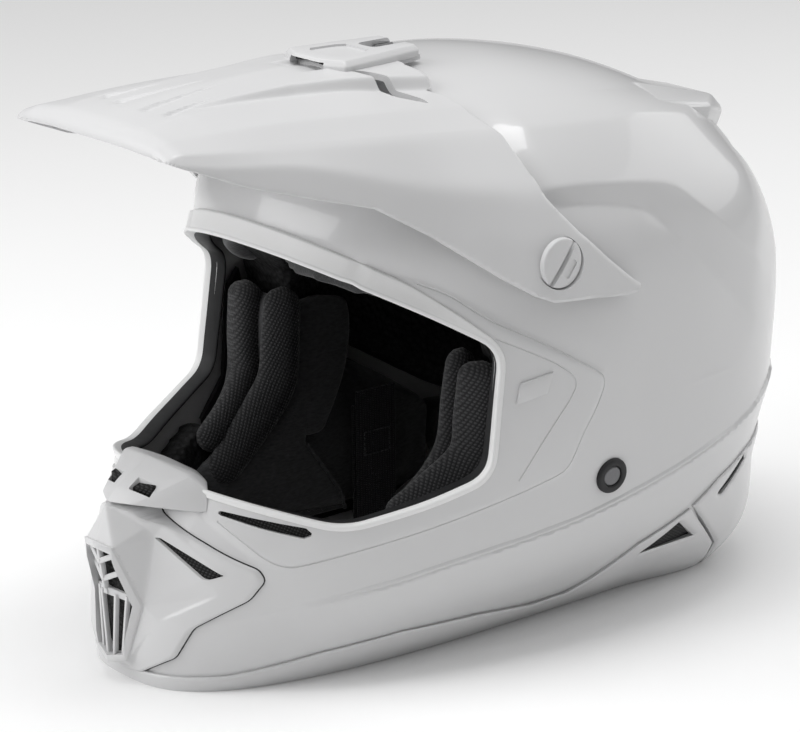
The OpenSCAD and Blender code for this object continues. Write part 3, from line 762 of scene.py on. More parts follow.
def port_half_path(outline, step):
    """Edge of the eyeport on the left, from the top centre round the back to the chin centre."""
    ring = resample(round_corners(outline, 9), 0.5, closed=True)
    start = np.argmin(np.hypot(ring[:, 0] - outline[0][0], ring[:, 1] - outline[0][1]))
    ring = np.roll(ring, -start, 0)
    along = np.arange(len(ring), dtype=float)

    def place(s):
        y, z = np.interp(s, along, ring[:, 0]), np.interp(s, along, ring[:, 1])
        row = section_at(t_at(z))
        return y, z, y > row[..., 4]

    inside = place(along)[2]
    first, last = np.argmax(inside), len(inside) - 1 - np.argmax(inside[::-1])
    ends = []
    for low, high in ((first - 1, first), (last + 1, last)):
        for _ in range(30):
            middle = (low + high) / 2
            low, high = (low, middle) if place(middle)[2] else (middle, high)
        ends.append(high)
    half = (ends[1] - ends[0]) / 2
    u = np.linspace(0, 1, 300) ** 2
    s = np.concatenate([ends[0] + half * u, ends[1] - half * u[-2::-1]])
    y, z, _ = place(s)
    path = np.stack([side_x(y, z), y, z], 1)
    path[0, 0] = path[-1, 0] = 0
    return resample(path, step)


SEAL_PROFILE = [[0.1, -1.5], [0.1, -8.5], [-0.4, -9.2], [-1.3, -9.2], [-1.3, -1.5]]


def eyeport_rim():
    """White lip round the eyeport, wide along the brow, and a black seal behind it."""
    half = port_half_path(EYEPORT_EDGE, 1.6)
    path = np.vstack([half, half[-2:0:-1] * MIRROR])
    places, normals = on_surface(path)
    y, z = path[:, 1], path[:, 2]
    top = (z > 153) | ((y < -66) & (z > 150))
    width = np.where(top, np.interp(y, [-126, -101, -74], [11, 10, 3.6]),
                     np.interp(z, [80, 97, 150], [3.0, 3.5, 3.5]))
    brow = (1 - ease(-122, -72, y)) * (z > 150)
    for _ in range(6):
        width = (np.roll(width, 1) + width + np.roll(width, -1)) / 3
    profiles = []
    for w, b in zip(width, brow):
        lip = 2.3 + 1.9 * b
        profiles.append([
            [0.2, -1.6], [0.2, lip - 1.2], [0, lip - 0.5], [-0.4, lip - 0.08], [-0.9, lip],
            [-1.5, lip - 0.15], [-1.9, lip - 0.6], [-2.2, lip - 0.9], [-w + 0.9, 1.25 + 0.5 * b],
            [-w + 0.35, 1.1 + 0.4 * b], [-w, 0.7], [-w - 0.05, -0.8], [-1.35, -0.8], [-1.35, -1.6]])
    rim = sweep("eyeport_rim_visual", places, normals, profiles, closed=True)
    finish(rim, "root", RUBBER_WHITE, ["eyeport_rim"], sharp=50)
    seal = sweep("eyeport_seal", places, normals, SEAL_PROFILE, closed=True)
    finish(seal, "root", RUBBER_BLACK, sharp=50)


eyeport_rim()


# ---------------------------------------------------------------- panel lines and slots

def groove(path, radius):
    """Round-bottomed line on the shell along a path, on both sides."""
    places, normals = on_surface(resample(smooth_path(path, 6), 2.0))
    return mirror_object(sweep("groove", places, normals, circle_profile(radius) + [0, 0.1]))


SURROUND_LINE = [[84, -96, 185], [94, -85, 179], [105, -72, 168], [114, -50, 155], [120, -32, 144],
                 [122, -21, 137], [122, -18, 131], [121, -22, 120], [120, -29, 109], [118, -37, 94],
                 [115, -52, 88], [109, -75, 82], [94, -115, 72], [85.5, -138, 66], [77, -152, 62.5],
                 [71, -160, 61], [64, -167, 64], [54, -173, 72], [42, -180, 81]]
SURROUND_INNER = [[110, -72, 160], [114, -58, 153], [118, -42, 144], [120, -34, 136],
                  [119, -36, 128], [117, -49, 111], [113, -62, 92]]


def slot_tool(path, half_height, low, high):
    """Bar along a path on the shell, thin at the front, between two levels."""
    places, normals = on_surface(resample(smooth_path(path, 4), 1.5))
    share = np.linspace(0, 1, len(places))
    taper = np.interp(share, [0, 0.03, 0.5, 0.93, 1], [0.25, 0.5, 1, 1.25, 0.35])
    profile = np.array([[-1, low], [1, low], [1, high], [-1, high]], float)
    return sweep("slot", places, normals, [profile * [half_height * f, 1] for f in taper])


CHIN_SLOT = [[41, -178, 84.5], [58, -166, 80.5], [75.5, -151.5, 76.5]]


# ---------------------------------------------------------------- mouth housing

def front_y(x, z, end=4, power=5):
    """Front face of the shell at a place in the front view. Columns 3 and 6 give the back face."""
    s = section_at(t_at(np.asarray(z, float)))
    part = np.minimum(np.abs(x) / s[..., 1], 1)
    p = s[..., power]
    return s[..., 2] + (s[..., end] - s[..., 2]) * (1 - part ** p) ** (1 / p)


def two_sheets(name, top, under):
    """Closed solid between two grids of the same size."""
    rows, columns = top.shape[:2]
    n = rows * columns
    index = np.arange(n).reshape(rows, columns)
    quads = np.stack([index[:-1, :-1], index[:-1, 1:], index[1:, 1:], index[1:, :-1]], 2)
    quads = quads.reshape(-1, 4)
    edge = np.concatenate([index[0, :-1], index[:-1, -1], index[-1, :0:-1], index[:0:-1, 0]])
    after = np.roll(edge, -1)
    sides = np.stack([after, edge, edge + n, after + n], 1)
    faces = quads.tolist() + (quads[:, ::-1] + n).tolist() + sides.tolist()
    points = np.vstack([top.reshape(-1, 3), under.reshape(-1, 3)])
    return outward(new_object(name, points, faces))


def mirrored_points(points):
    """Points with their mirror images."""
    p = np.array(points, float)
    return np.vstack([p, p[p[:, 0] != 0] * MIRROR])


PLATE_EDGE = [[0, 85.5], [10, 83], [13, 79.5], [38, 70], [59.5, 60], [62, 55], [57.8, 46],
              [39, 31.5],
              [32, 16.5], [15, 6.5], [0, 5]]
PLATE_PROUD = 3.2
GRILLE_TOP, GRILLE_SHOULDER = [0, -217, 69], [10.5, -214.5, 67.5]
GRILLE_WAIST, GRILLE_FOOT = [17.2, -204, 39], [11, -209, 12]
GRILLE_BASE, GRILLE_HEART = [0, -211.5, 9], np.array([0, -210, 40.0])
# Corners of the beak on the left
BEAK_TOP, BEAK_CORNER, BEAK_RIDGE = [0, -210.5, 85.5], [10.5, -204, 83], [15.5, -199.5, 75]
VENT_START, VENT_END = [17.5, -197, 70.5], [50.4, -182.5, 57.5]
VENT_HEEL, VENT_LOW = [43.7, -186.8, 54.6], [41.6, -188.3, 55.1]
FOLD_SIDE, FOLD_WAIST, FOLD_FOOT = [48.6, -184.6, 48.3], [25.3, -201.6, 33.3], [9.5, -207, 8.5]
PLATE_SHOULDER = [22, -193.5, 78]
BEAK_FACETS = [
    (BEAK_TOP, GRILLE_TOP, GRILLE_SHOULDER), (BEAK_TOP, GRILLE_SHOULDER, BEAK_RIDGE),
    (BEAK_TOP, BEAK_RIDGE, BEAK_CORNER), (BEAK_CORNER, BEAK_RIDGE, PLATE_SHOULDER),
    (BEAK_RIDGE, VENT_START, PLATE_SHOULDER), (VENT_START, VENT_END, PLATE_SHOULDER),
    (GRILLE_SHOULDER, BEAK_RIDGE, VENT_START), (GRILLE_SHOULDER, VENT_START, GRILLE_WAIST),
    (VENT_START, VENT_LOW, GRILLE_WAIST), (VENT_START, VENT_LOW, VENT_END),
    (VENT_LOW, VENT_HEEL, VENT_END), (GRILLE_WAIST, VENT_LOW, FOLD_SIDE),
    (VENT_LOW, VENT_HEEL, FOLD_SIDE),
    (GRILLE_WAIST, FOLD_SIDE, FOLD_WAIST), (GRILLE_WAIST, FOLD_WAIST, GRILLE_FOOT),
    (FOLD_WAIST, FOLD_FOOT, GRILLE_FOOT), (GRILLE_BASE, GRILLE_FOOT, FOLD_FOOT),
    (GRILLE_TOP, GRILLE_SHOULDER, GRILLE_BASE), (GRILLE_SHOULDER, GRILLE_WAIST, GRILLE_BASE),
    (GRILLE_WAIST, GRILLE_FOOT, GRILLE_BASE),
]


def grille_hull(name, *levels):
    """Solid through the grille opening. Levels are pairs of an inset and a depth."""
    points = []
    for inset, depth in levels:
        for p in (GRILLE_TOP, GRILLE_SHOULDER, GRILLE_WAIST, GRILLE_FOOT, GRILLE_BASE):
            inward = (GRILLE_HEART - p) * [1, 0, 1]
            stretch = inset * (1.0 if p is GRILLE_WAIST else 1.25) / np.linalg.norm(inward)
            x, y, z = p + inward * stretch
            points.append([x if p[0] else 0.0, y + depth, z])
    return hull_object(name, mirrored_points(points))


def bar(a, b, width, depth):
    """Straight rib from a to b, facing the front."""
    a, b = np.array(a, float), np.array(b, float)
    along = (b - a) / np.linalg.norm(b - a)
    side = np.cross(along, [0, -1, 0])
    side /= np.linalg.norm(side)
    corners = [[-1, 0], [1, 0], [1, 1], [-1, 1]]
    ends = [[p + side * width / 2 * u + np.array([0, depth, 0]) * v for u, v in corners]
            for p in (a, b)]
    return bevelled_box("bar", ends[0], ends[1], 0.35)


def facet_depth(x, z, start):
    """Frontmost y over a grid of places, from a start and the beak's facets."""
    depth = start.copy()
    for corners in BEAK_FACETS:
        p, q, r = np.array(corners, float)[:, [0, 2, 1]]
        area = (q[0] - p[0]) * (r[1] - p[1]) - (r[0] - p[0]) * (q[1] - p[1])
        u = ((x - p[0]) * (r[1] - p[1]) - (r[0] - p[0]) * (z - p[1])) / area
        v = ((q[0] - p[0]) * (z - p[1]) - (x - p[0]) * (q[1] - p[1])) / area
        inside = (u >= -0.01) & (v >= -0.01) & (u + v <= 1.01)
        depth = np.where(inside, p[2] + u * (q[2] - p[2]) + v * (r[2] - p[2]), depth)
    return depth


def mouth_housing():
    """Faceted beak round the grille, on a plate that follows the shell."""
    outline = mirrored_outline(round_corners(PLATE_EDGE, 2.2, closed=False))
    x, z = np.meshgrid(np.arange(-64, 64.01, 0.6), np.arange(3.5, 87.5, 0.6))
    base = front_y(x, z)
    edge = inside_distance(outline, x, z)
    depth = facet_depth(np.abs(x), z, base - PLATE_PROUD)
    for _ in range(2):
        inner = depth[1:-1, 1:-1]
        around = depth[:-2, 1:-1] + depth[2:, 1:-1] + depth[1:-1, :-2] + depth[1:-1, 2:]
        depth[1:-1, 1:-1] = 0.5 * inner + 0.125 * around
    depth += round_off(edge, 0.9)
    housing = two_sheets("mouth_housing_visual", np.stack([x, depth, z], 2),
                         np.stack([x, base + 7, z], 2))
    crop(housing, outline, -260, -100, "y")
    ring = grille_hull("ring", (-0.3, -1.1), (-0.3, 3))
    boolean(housing, bevel_edges(ring, 0.35), "UNION")
    cut(housing, grille_hull("mouth", (2.3, -6), (2.5, 0.4), (4.6, 8), (4.6, 30)),
        mirror_object(prism(round_corners(MOUTH_VENT, 0.8), -215, -150, "y")),
        shell_solid("inside", -0.6, 120, 100, drop=10))
    # Black rubber cord along the plate's edge: painted shadow, a dark line standing in for the
    # shade in the gap between the plate and the shell
    line = resample(np.insert(np.vstack([outline, outline[:1]]), 1, 0, axis=1), 1.5)[:-1]
    line[:, 1] = front_y(line[:, 0], line[:, 2]) - 0.1
    seam = sweep("mouth_gap_shadow_cord", line, np.tile([0.0, -1.0, 0.01], (len(line), 1)),
                 circle_profile(0.4), closed=True)
    finish(seam, "root", RUBBER_BLACK)
    return finish(housing, "root", PLASTIC, ["mouth_housing"], sharp=40)


MOUTH_VENT = [[17.8, 70.6], [20.5, 70.8], [50.2, 57.6], [44, 54.8], [41.6, 55.2]]
# Ends, width and depth of the ribs on the left, and of the one down the middle
GRILLE_BARS = [
    ([-1.2, -212.6, 44.0], [16.2, -205.6, 41], 3.6, 3.2),
    ([-0.6, -215.8, 58.5], [11.5, -213.0, 64.5], 2.6, 2.6),
    ([-0.6, -214.0, 49.5], [13.4, -209.8, 56.5], 2.6, 2.6),
    ([5.4, -211.1, 43], [2.4, -211.0, 12], 1.6, 2.4),
    ([10.8, -208.6, 43], [7.4, -209.8, 12], 1.6, 2.4),
]
GRILLE_RIDGE = ([0, -216.2, 66], [0, -213.2, 45], 1.8, 2.6)


def mouth_grille():
    """Ribs across the grille opening."""
    left = join([bar(*b) for b in GRILLE_BARS], "left")
    grille = join([bar(*GRILLE_RIDGE), mirror_object(left)], "mouth_grille_visual")
    return finish(grille, "root", PLASTIC, ["mouth_grille"], sharp=30)


def mouth_mesh():
    """Mesh behind the left vent of the beak."""
    xs, zs = np.meshgrid(np.arange(12, 56, 1.0), np.arange(50, 79, 1.0))
    base = np.stack([xs, facet_depth(xs, zs, front_y(xs, zs) - PLATE_PROUD) + 1.6, zs], 2)
    sheet = two_sheets("mouth_mesh", base, base + [0, 1.0, 0])
    return crop(sheet, grow_outline(MOUTH_VENT, 1.2), -240, -120, "y")


GUARD_CORNERS = [[0, -186.5, 103], [10, -185, 101.5], [24, -178, 99.3], [30, -175.3, 96],
                 [34, -177.8, 93], [36, -180, 83], [12, -204, 86.3], [0, -210, 86],
                 [0, -204.5, 92], [19.5, -194.5, 89.5], [26, -181.3, 98.6], [0, -176, 100],
                 [18, -172, 97], [20, -172, 84], [24, -172, 90], [0, -186, 85]]
GUARD_SLOT = [[5.5, -201.5], [5.5, -195.5], [16, -193.2], [16.4, -197.6]]
# Corners of the mesh in the slot: x and y, and the height of its top
GUARD_MESH = [[5.6, -199.2, 92.0], [16.0, -195.8, 93.36], [15.8, -193.4, 94.32],
              [5.7, -195.6, 93.44]]


def nose_guard():
    """Guard over the beak, with a slot and mesh on each side."""
    guard = hull_object("nose_guard_visual", mirrored_points(GUARD_CORNERS))
    bevel_edges(guard, 0.8, 3, angle=8)
    cut(guard, mirror_object(prism(round_corners(GUARD_SLOT, 0.6), 86.5, 120, "z")))
    finish(guard, "root", PLASTIC, ["nose_guard"], sharp=28)
    low = [[x, y, 86.6] for x, y, _ in GUARD_MESH]
    mesh = mirror_object(bevelled_box("nose_guard_mesh_visual", low, GUARD_MESH, 0.2))
    finish(mesh, "root", MESH_BLACK, ["nose_guard_mesh"])


cut(shell, mirror_object(slot_tool(CHIN_SLOT, 2.0, -9, 6)),
    prism(mirrored_outline([[0, 66], [9, 65], [15, 39], [9, 13], [0, 12]]), *AHEAD, "y"),
    mirror_object(prism(MOUTH_VENT, *AHEAD, "y")),
    groove(SURROUND_LINE, 0.55), groove(SURROUND_INNER, 0.45))
pair("chin_mesh", slot_tool(CHIN_SLOT, 3.2, -3.6, -2.8), MESH_BLACK)
mouth_housing()
mouth_grille()
finish(grille_hull("mouth_filter_visual", (2.6, 5.2), (2.6, 13)), "root", FILTER,
       ["mouth_filter"])
pair("mouth_mesh", mouth_mesh(), MESH_BLACK)
nose_guard()


# ---------------------------------------------------------------- rivets and side screws

def lathe(name, profile, centre, axis, count=72):
    """Closed profile of (radius, height) points turned round an axis through a centre."""
    axis = np.array(axis, float) / np.linalg.norm(axis)
    side = np.cross(axis, [0, 0, 1.0])
    side /= np.linalg.norm(side)
    up = np.cross(axis, side)
    rings = []
    for a in np.linspace(0, 2 * math.pi, count, endpoint=False):
        radial = side * math.cos(a) + up * math.sin(a)
        rings.append([np.array(centre) + radial * r + axis * h for r, h in profile])
    return outward(skin(name, rings, closed_path=True))


def arc(centre, radius, start, end, count=6):
    """Points along an arc, from a start to an end angle in degrees."""
    a = np.radians(np.linspace(start, end, count))
    return [[centre[0] + radius * math.cos(v), centre[1] + radius * math.sin(v)] for v in a]


def strap_hardware():
    """Steel cap in a rubber ring where each chin strap is held."""
    place, normal = (v[0] for v in on_surface(RIVET))
    ring = ([[5.0, -0.6]] + arc((5.9, 1.1), 0.9, 180, 90) + arc((7.3, 0.7), 1.3, 90, 0)
            + [[8.6, -0.6]])
    cap = [[0.01, -5.5], [2.5, -5.5], [2.5, 0], [5.0, 0.0], [5.0, 0.9], [4.7, 1.3], [4.0, 1.5],
           [3.4, 1.45], [2.0, 1.55], [0.01, 1.6]]
    pair("strap_grommet", lathe("grommet", ring, place, normal), RUBBER_BLACK, 45)
    pair("strap_rivet", lathe("rivet", cap, place, normal), STEEL_DARK, 40)


strap_hardware()


# ---------------------------------------------------------------- trims and vents

CORNER_VENT = [[28, 30], [47, 44], [66, 30]]
REAR_SLOT = [[73, 52], [96, 66], [99, 62], [77, 50]]
EXHAUST = [[44, 205], [50, 222], [76, 213], [72, 196]]
TRIM_PROUD, TRIM_FLARE = 2.0, 9.0


def trim_grow(angles, z):
    """How far the trim stands out, by the angle round the shell and the height."""
    back = np.maximum(0, np.minimum(angles, 180 - angles))
    flare = ease(8, 42, back) * (1 - 0.5 * ease(55, 90, back)) * (1 - ease(22, 62, z))
    return TRIM_PROUD + TRIM_FLARE * flare


TRIM_GRID, TRIM_NORMALS, TRIM_ANGLES = shell_grid(420, np.linspace(0, t_at(84), 90))
TRIM_AMOUNT = trim_grow(TRIM_ANGLES, TRIM_GRID[..., 2])


def trim_piece(node, outline, holes):
    """Part of the trim within a side outline, with rounded edges and holes."""
    outline = np.array(outline, float)
    outline[:, 1] = np.maximum(outline[:, 1], 0)
    proud = TRIM_GRID + TRIM_NORMALS * TRIM_AMOUNT[..., None]
    y, z = proud[..., 1], proud[..., 2]
    drop = round_off(inside_distance(outline, y, np.maximum(z, 2.5)), 1.3)
    for hole in holes:
        drop = np.maximum(drop, round_off(-inside_distance(round_corners(hole, 1.5), y, z), 1.6))
    drop = np.minimum(drop, TRIM_AMOUNT)
    outer = proud - TRIM_NORMALS * drop[..., None]
    inner = TRIM_GRID - TRIM_NORMALS * 0.8
    piece = outward(skin(node + "_visual", np.vstack([outer, inner[::-1]]), closed_path=True))
    crop(piece, outline, *WIDE, "x")
    cut(piece, *[prism(round_corners(hole, 1.5), *WIDE, "x") for hole in holes])
    return finish(piece, "root", LACQUER, [node], sharp=35)


def recessed_mesh(outline, depth):
    """Mesh behind a hole in the trim."""
    part = slice(2, TRIM_GRID.shape[1] // 2 - 2)
    amount = np.maximum(TRIM_AMOUNT[:, part] - depth, 0.6)[..., None]
    base, n = TRIM_GRID[:, part], TRIM_NORMALS[:, part]
    sheet = two_sheets("mesh", base + n * amount, base + n * (amount - 0.8))
    return crop(sheet, grow_outline(outline, 0.8), 1, 160, "x")


def exhaust_mesh():
    """Mesh in the outlet behind each shoulder rail."""
    xs, zs = np.meshgrid(np.arange(40, 82, 1.0), np.arange(190, 228, 1.0))
    base = np.stack([xs, front_y(xs, zs, 3, 6) - 4.6, zs], 2)
    sheet = two_sheets("mesh", base, base - [0, 0.9, 0])
    return crop(sheet, grow_outline(EXHAUST, 1.2), 40, 180, "y")


trim_piece("lower_trim", TRIM_EDGE, [CORNER_VENT])
trim_piece("rear_trim", REAR_TRIM_EDGE, [REAR_SLOT])
pair("corner_vent", recessed_mesh(CORNER_VENT, 3.4), MESH_BLACK)
pair("rear_slot_mesh", recessed_mesh(REAR_SLOT, 2.4), MESH_BLACK, replaces=False)
cut(shell, *[prism(grow_outline(outline, -2), *WIDE, "x") for outline in (CORNER_VENT, REAR_SLOT)],
    mirror_object(prism(round_corners(EXHAUST, 3), 60, 170, "y")))
pair("exhaust_vent", exhaust_mesh(), MESH_BLACK)


# ---------------------------------------------------------------- peak

# Sections from the tip back: y, then x and z of points from the middle to the lower edge
PEAK_SECTIONS = [
    [-212, [[0, 262], [28, 262], [48, 261], [58, 258], [61, 254], [62, 248], [62, 240]]],
    [-190, [[0, 266], [30, 265], [50, 261], [62, 256], [67, 250], [68.5, 243], [69, 230]]],
    [-148, [[0, 270], [32, 268], [54, 262], [68.5, 252], [76, 245], [80, 232], [82, 215]]],
    [-99, [[0, 271.5], [34, 269], [60, 261], [77, 249], [92, 231], [96, 210], [98, 190]]],
    [-72, [[0, 271], [34, 268], [62, 259.5], [81, 247.5], [103, 227], [110, 205], [114, 175]]],
    [-45, [[0, 270.5], [34, 267.5], [64, 258.5], [86, 246], [111, 224], [122, 200], [126, 170]]],
    [6, [[0, 272], [34, 269], [68, 260], [94, 245], [114, 225], [124, 202], [129, 168]]],
]
PEAK_WALL, PEAK_GAP = 3.0, 2.4
LIP_START, LIP_LENGTH, LIP_DROP = -203.0, 9.0, 6.5
EAR_X = float(side_x(PIVOT_Y, PIVOT_Z)) + PEAK_GAP + 0.3
SCREW_HEAD_R = 11.5
VENT_SLOT = [[20, -83], [46, -76], [58, -66], [52, -65], [26, -76]]


def peak_profiles(ys):
    """Half profiles of the peak at some places along it, with softened creases."""
    rows = [np.vstack([[y, 0], p]) for y, p in PEAK_SECTIONS]
    rows = np.array([rows[0]] + rows + [rows[-1]], float)
    table = []
    for i in range(len(PEAK_SECTIONS) - 1):
        for f in np.linspace(0, 1, 60, endpoint=False):
            table.append(spline(rows[i], rows[i + 1], rows[i + 2], rows[i + 3], f))
    table = np.array(table + [rows[-1]])
    flat = table.reshape(len(table), -1)
    even = np.stack([np.interp(ys, table[:, 0, 0], flat[:, k]) for k in range(flat.shape[1])], 1)
    controls = even.reshape(len(ys), 8, 2)[:, 1:]
    places = np.concatenate([np.linspace(k, k + 1, n, endpoint=False)
                             for k, n in enumerate((64, 48, 32, 20, 18, 18))] + [[6.0]])
    low = np.minimum(places.astype(int), 5)
    f = (places - low)[None, :, None]
    half = controls[:, low] * (1 - f) + controls[:, low + 1] * f
    both = np.concatenate([half[:, :0:-1] * [-1, 1], half], 1)
    for _ in range(16):
        both[:, 1:-1] = (both[:, :-2] + 2 * both[:, 1:-1] + both[:, 2:]) / 4
    return both


def peak_top():
    """Grid over the outside of the peak, from its rolled front lip back."""
    turn = np.radians(np.linspace(90, 0, 9, endpoint=False))
    ys = np.concatenate([LIP_START - LIP_LENGTH * np.sin(turn), np.linspace(LIP_START, 6, 200)])
    profile = peak_profiles(ys)
    x, z = profile[..., 0], profile[..., 1].copy()
    y = np.repeat(ys[:, None], x.shape[1], 1)
    v = np.clip((LIP_START - y) / LIP_LENGTH, 0, 1)
    z -= LIP_DROP * (1 - np.sqrt(1 - v ** 2))
    across = np.abs(x)
    upper = np.interp(y, [-178, -118, -82, -40], [23, 25, 33, 42])
    lower = np.interp(y, [-178, -121, -82, -40], [25, 29, 37, 47])
    crease = np.interp(y, [-212, -190, -148, -99, -72, -45], [58, 62, 68.5, 77, 81, 86])
    depth = np.interp(y, [-180, -121, -82, -50], [0, 4.2, 5.2, 4.6])
    step = np.clip((across - upper) / (lower - upper), 0, 1)
    fade = np.clip((crease - 3 - across) / (crease - 3 - lower), 0, 1)
    z -= depth * np.minimum(step ** 2 * (3 - 2 * step), fade)
    for heart, start, end, width in ((10.0, -186, -140, 3.6), (24.0, -184, -156, 3.0)):
        share = np.clip((y - start) / (end - start), 0, 1)
        near = np.clip(1 - np.abs(across - heart + share * 5) / (width * (1 - share) + 0.01), 0, 1)
        z -= 1.5 * np.minimum(1, near * 2.2) * (1 - share) * ease(start - 5, start, y)
    mouth = ease(-106, -88, y) * (y < -86) * (1 - ease(11, 14, across))
    z -= 2.6 * mouth
    return np.stack([x, y, z], 2)


def disc(low, high, radius):
    """Round bar on the tilt axis of the peak, on both sides."""
    a = np.radians(np.arange(0, 360, 5))
    ring = np.stack([PIVOT_Y + radius * np.cos(a), PIVOT_Z + radius * np.sin(a)], 1)
    return mirror_object(prism(ring, low, high, "x"))


def peak():
    """Peak with a rolled edge, side ears, vent slots and holes for its screws."""
    top = peak_top()
    n = np.cross(np.gradient(top, axis=1), np.gradient(top, axis=0))
    n /= np.linalg.norm(n, axis=2, keepdims=True)
    edge = inside_distance(PEAK_EDGE, top[..., 1], top[..., 2])
    tongue = np.abs(top[..., 0]) < 22
    drop = round_off(np.maximum(edge, 0) + 9 * tongue, 1.1)
    top = top - n * drop[..., None]
    wall = two_sheets("peak_visual", top, top - n * (PEAK_WALL - drop[..., None]))
    floor = top[:, [0, -1]] * [1, 1, 0] + [0, 0, 150]
    full = outward(skin("full", np.concatenate([floor[:, :1], top, floor[:, 1:]], 1)))
    boolean(wall, boolean(disc(92, 150, 18), full, "INTERSECT"), "UNION")
    tongue = prism([[-60, 255], [-35, 255], [-35, 285], [-60, 285]], -15, 15, "x")
    block = prism(PEAK_EDGE, *WIDE, "x")
    boolean(block, bevel_edges(tongue, 1.5), "UNION")
    boolean(wall, block, "INTERSECT")
    slot = round_corners([[-3.3, -54.8], [3.3, -54.8], [3.3, -38.6], [-3.3, -38.6]], 3)
    cut(wall, shell_solid("gap", PEAK_GAP, 150, 120, drop=10),
        mirror_object(prism(round_corners(VENT_SLOT, 2.5), 235, 290, "z")),
        disc(85, 150, 7.2), disc(EAR_X + 3.7, 150, SCREW_HEAD_R + 0.6),
        prism(slot, 240, 290, "z"))
    return finish(wall, "peak", PLASTIC, ["peak"], sharp=30)


def peak_scoop():
    """Raised air scoop over the middle of the peak, with a plain recess in its top."""
    foot = [[0, -92], [10, -92], [23, -86], [20, -66], [15, -36], [0, -36]]
    crown = [[0, -90.5], [9, -90.5], [20.5, -85], [17.8, -66], [13.4, -37.5], [0, -37.5]]
    levels = []
    for half, low in ((foot, 268.3), (foot, 271.6), (crown, 274.2)):
        ring = mirrored_outline(round_corners(half, 1.5, closed=False))
        levels.append(np.column_stack([ring, np.full(len(ring), low)]))
    scoop = outward(skin("peak_scoop_visual", levels))
    bevel_edges(scoop, 0.7, 3, angle=25)
    recess = mirrored_outline([[0, -82], [9, -82], [12.5, -79], [11, -66], [8.5, -61], [0, -61]])
    opening = [[-13, 268], [13, 268], [12, 272.7], [-12, 272.7]]
    well = round_corners([[-6.5, -57], [6.5, -57], [6.5, -20], [-6.5, -20]], 4)
    cut(scoop, prism(recess, 273.2, 280, "z"), prism(opening, -96, -84, "y"),
        prism(well, 250, 280, "z"))
    return finish(scoop, "peak", PLASTIC, ["peak_scoop"], sharp=30)


def peak_screw():
    """Large slotted screw with a domed head and a plain oval recess beside its slot."""
    low, r = 121.0, SCREW_HEAD_R
    profile = ([[0.01, low - 18], [3, low - 18], [3, low], [r - 0.5, low]]
               + arc((r - 0.5, low + 0.5), 0.5, -90, 0, 3)
               + arc((r - 1.1, low + 1.9), 1.1, 0, 70, 5)
               + [[r - 3, low + 3.25], [r - 6, low + 3.6], [0.01, low + 3.75]])
    screw = lathe("screw", profile, [0, PIVOT_Y, PIVOT_Z], [1, 0, 0], 96)
    a = math.radians(52)
    along, over = np.array([math.cos(a), math.sin(a)]), np.array([-math.sin(a), math.cos(a)])
    for offset, length, width, floor_x, rounding in ((0, 30, 2.8, 1.2, 0.2),
                                                     (5.2, 9.0, 3.6, 2.75, 1.7)):
        ring = [[PIVOT_Y, PIVOT_Z] - over * offset + along * u * length / 2 + over * v * width / 2
                for u, v in ((-1, -1), (1, -1), (1, 1), (-1, 1))]
        boolean(screw, prism(round_corners(ring, rounding), low + floor_x, 130, "x"))
    return screw


peak()
peak_scoop()
pair("peak_screw", peak_screw(), PLASTIC, 30, "screw_SIDE")


# ---------------------------------------------------------------- pads

def copy_of(node):
    """Free copy of a CAD node's mesh."""
    name = node + "_visual"
    return placed(name, NODES[node].data.copy())


def vertex_arrays(obj):
    n = len(obj.data.vertices)
    places, normals = np.empty(n * 3), np.empty(n * 3)
    obj.data.vertices.foreach_get("co", places)
    obj.data.vertices.foreach_get("normal", normals)
    return places.reshape(-1, 3) / MM, normals.reshape(-1, 3)


def set_vertices(obj, places):
    obj.data.vertices.foreach_set("co", (places * MM).ravel())
    obj.data.update()


def soften(obj, voxel, shrink, rounds):
    """Even mesh with softened edges, a little smaller than the shape it starts from."""
    modified(obj, "REMESH", mode="VOXEL", voxel_size=voxel * MM)
    modified(obj, "SMOOTH", factor=0.5, iterations=rounds)
    places, normals = vertex_arrays(obj)
    set_vertices(obj, places - normals * shrink)
    return obj


def inflate(obj, pressure, cap):
    """Blows a closed mesh up as cloth and keeps each point's move below a cap."""
    before, _ = vertex_arrays(obj)
    modifier = obj.modifiers.new("cloth", "CLOTH")
    settings = modifier.settings
    settings.quality = 5
    settings.use_pressure = True
    settings.uniform_pressure_force = pressure
    settings.effector_weights.gravity = 0
    scene = bpy.context.scene
    for step in range(1, 21):
        scene.frame_set(step)
    graph = bpy.context.evaluated_depsgraph_get()
    blown = obj.evaluated_get(graph).to_mesh()
    after = np.empty(len(blown.vertices) * 3)
    blown.vertices.foreach_get("co", after)
    obj.evaluated_get(graph).to_mesh_clear()
    obj.modifiers.clear()
    move = after.reshape(-1, 3) / MM - before
    length = np.maximum(np.linalg.norm(move, axis=1, keepdims=True), 1e-6)
    set_vertices(obj, before + move * np.minimum(1, cap / length))
    scene.frame_set(1)
    return obj


def stuffed(node, voxel, shrink, rounds, cap):
    """Padded copy of a CAD node: softened, blown up and made finer."""
    pad = soften(copy_of(node), voxel, shrink, rounds)
    inflate(pad, 4.0, cap)
    return modified(pad, "SUBSURF", levels=1, render_levels=1)


def padded(pad, material, node):
    finish(pad, "root", material, [node], sharp=80)


def press_lines(obj, lines, width, depth, facing=None):
    """Sewn channels: presses the surface in along lines of x, y and z points."""
    places, normals = vertex_arrays(obj)
    near = np.full(len(places), 1e9)
    for line in lines:
        for p in resample(smooth_path(line, 6), 1.5):
            near = np.minimum(near, np.linalg.norm(places - p, axis=1))
    amount = depth * np.exp(-(near / width) ** 2)
    if facing is not None:
        amount *= normals @ np.array(facing, float) > 0
    set_vertices(obj, places - normals * amount[:, None])
    return obj


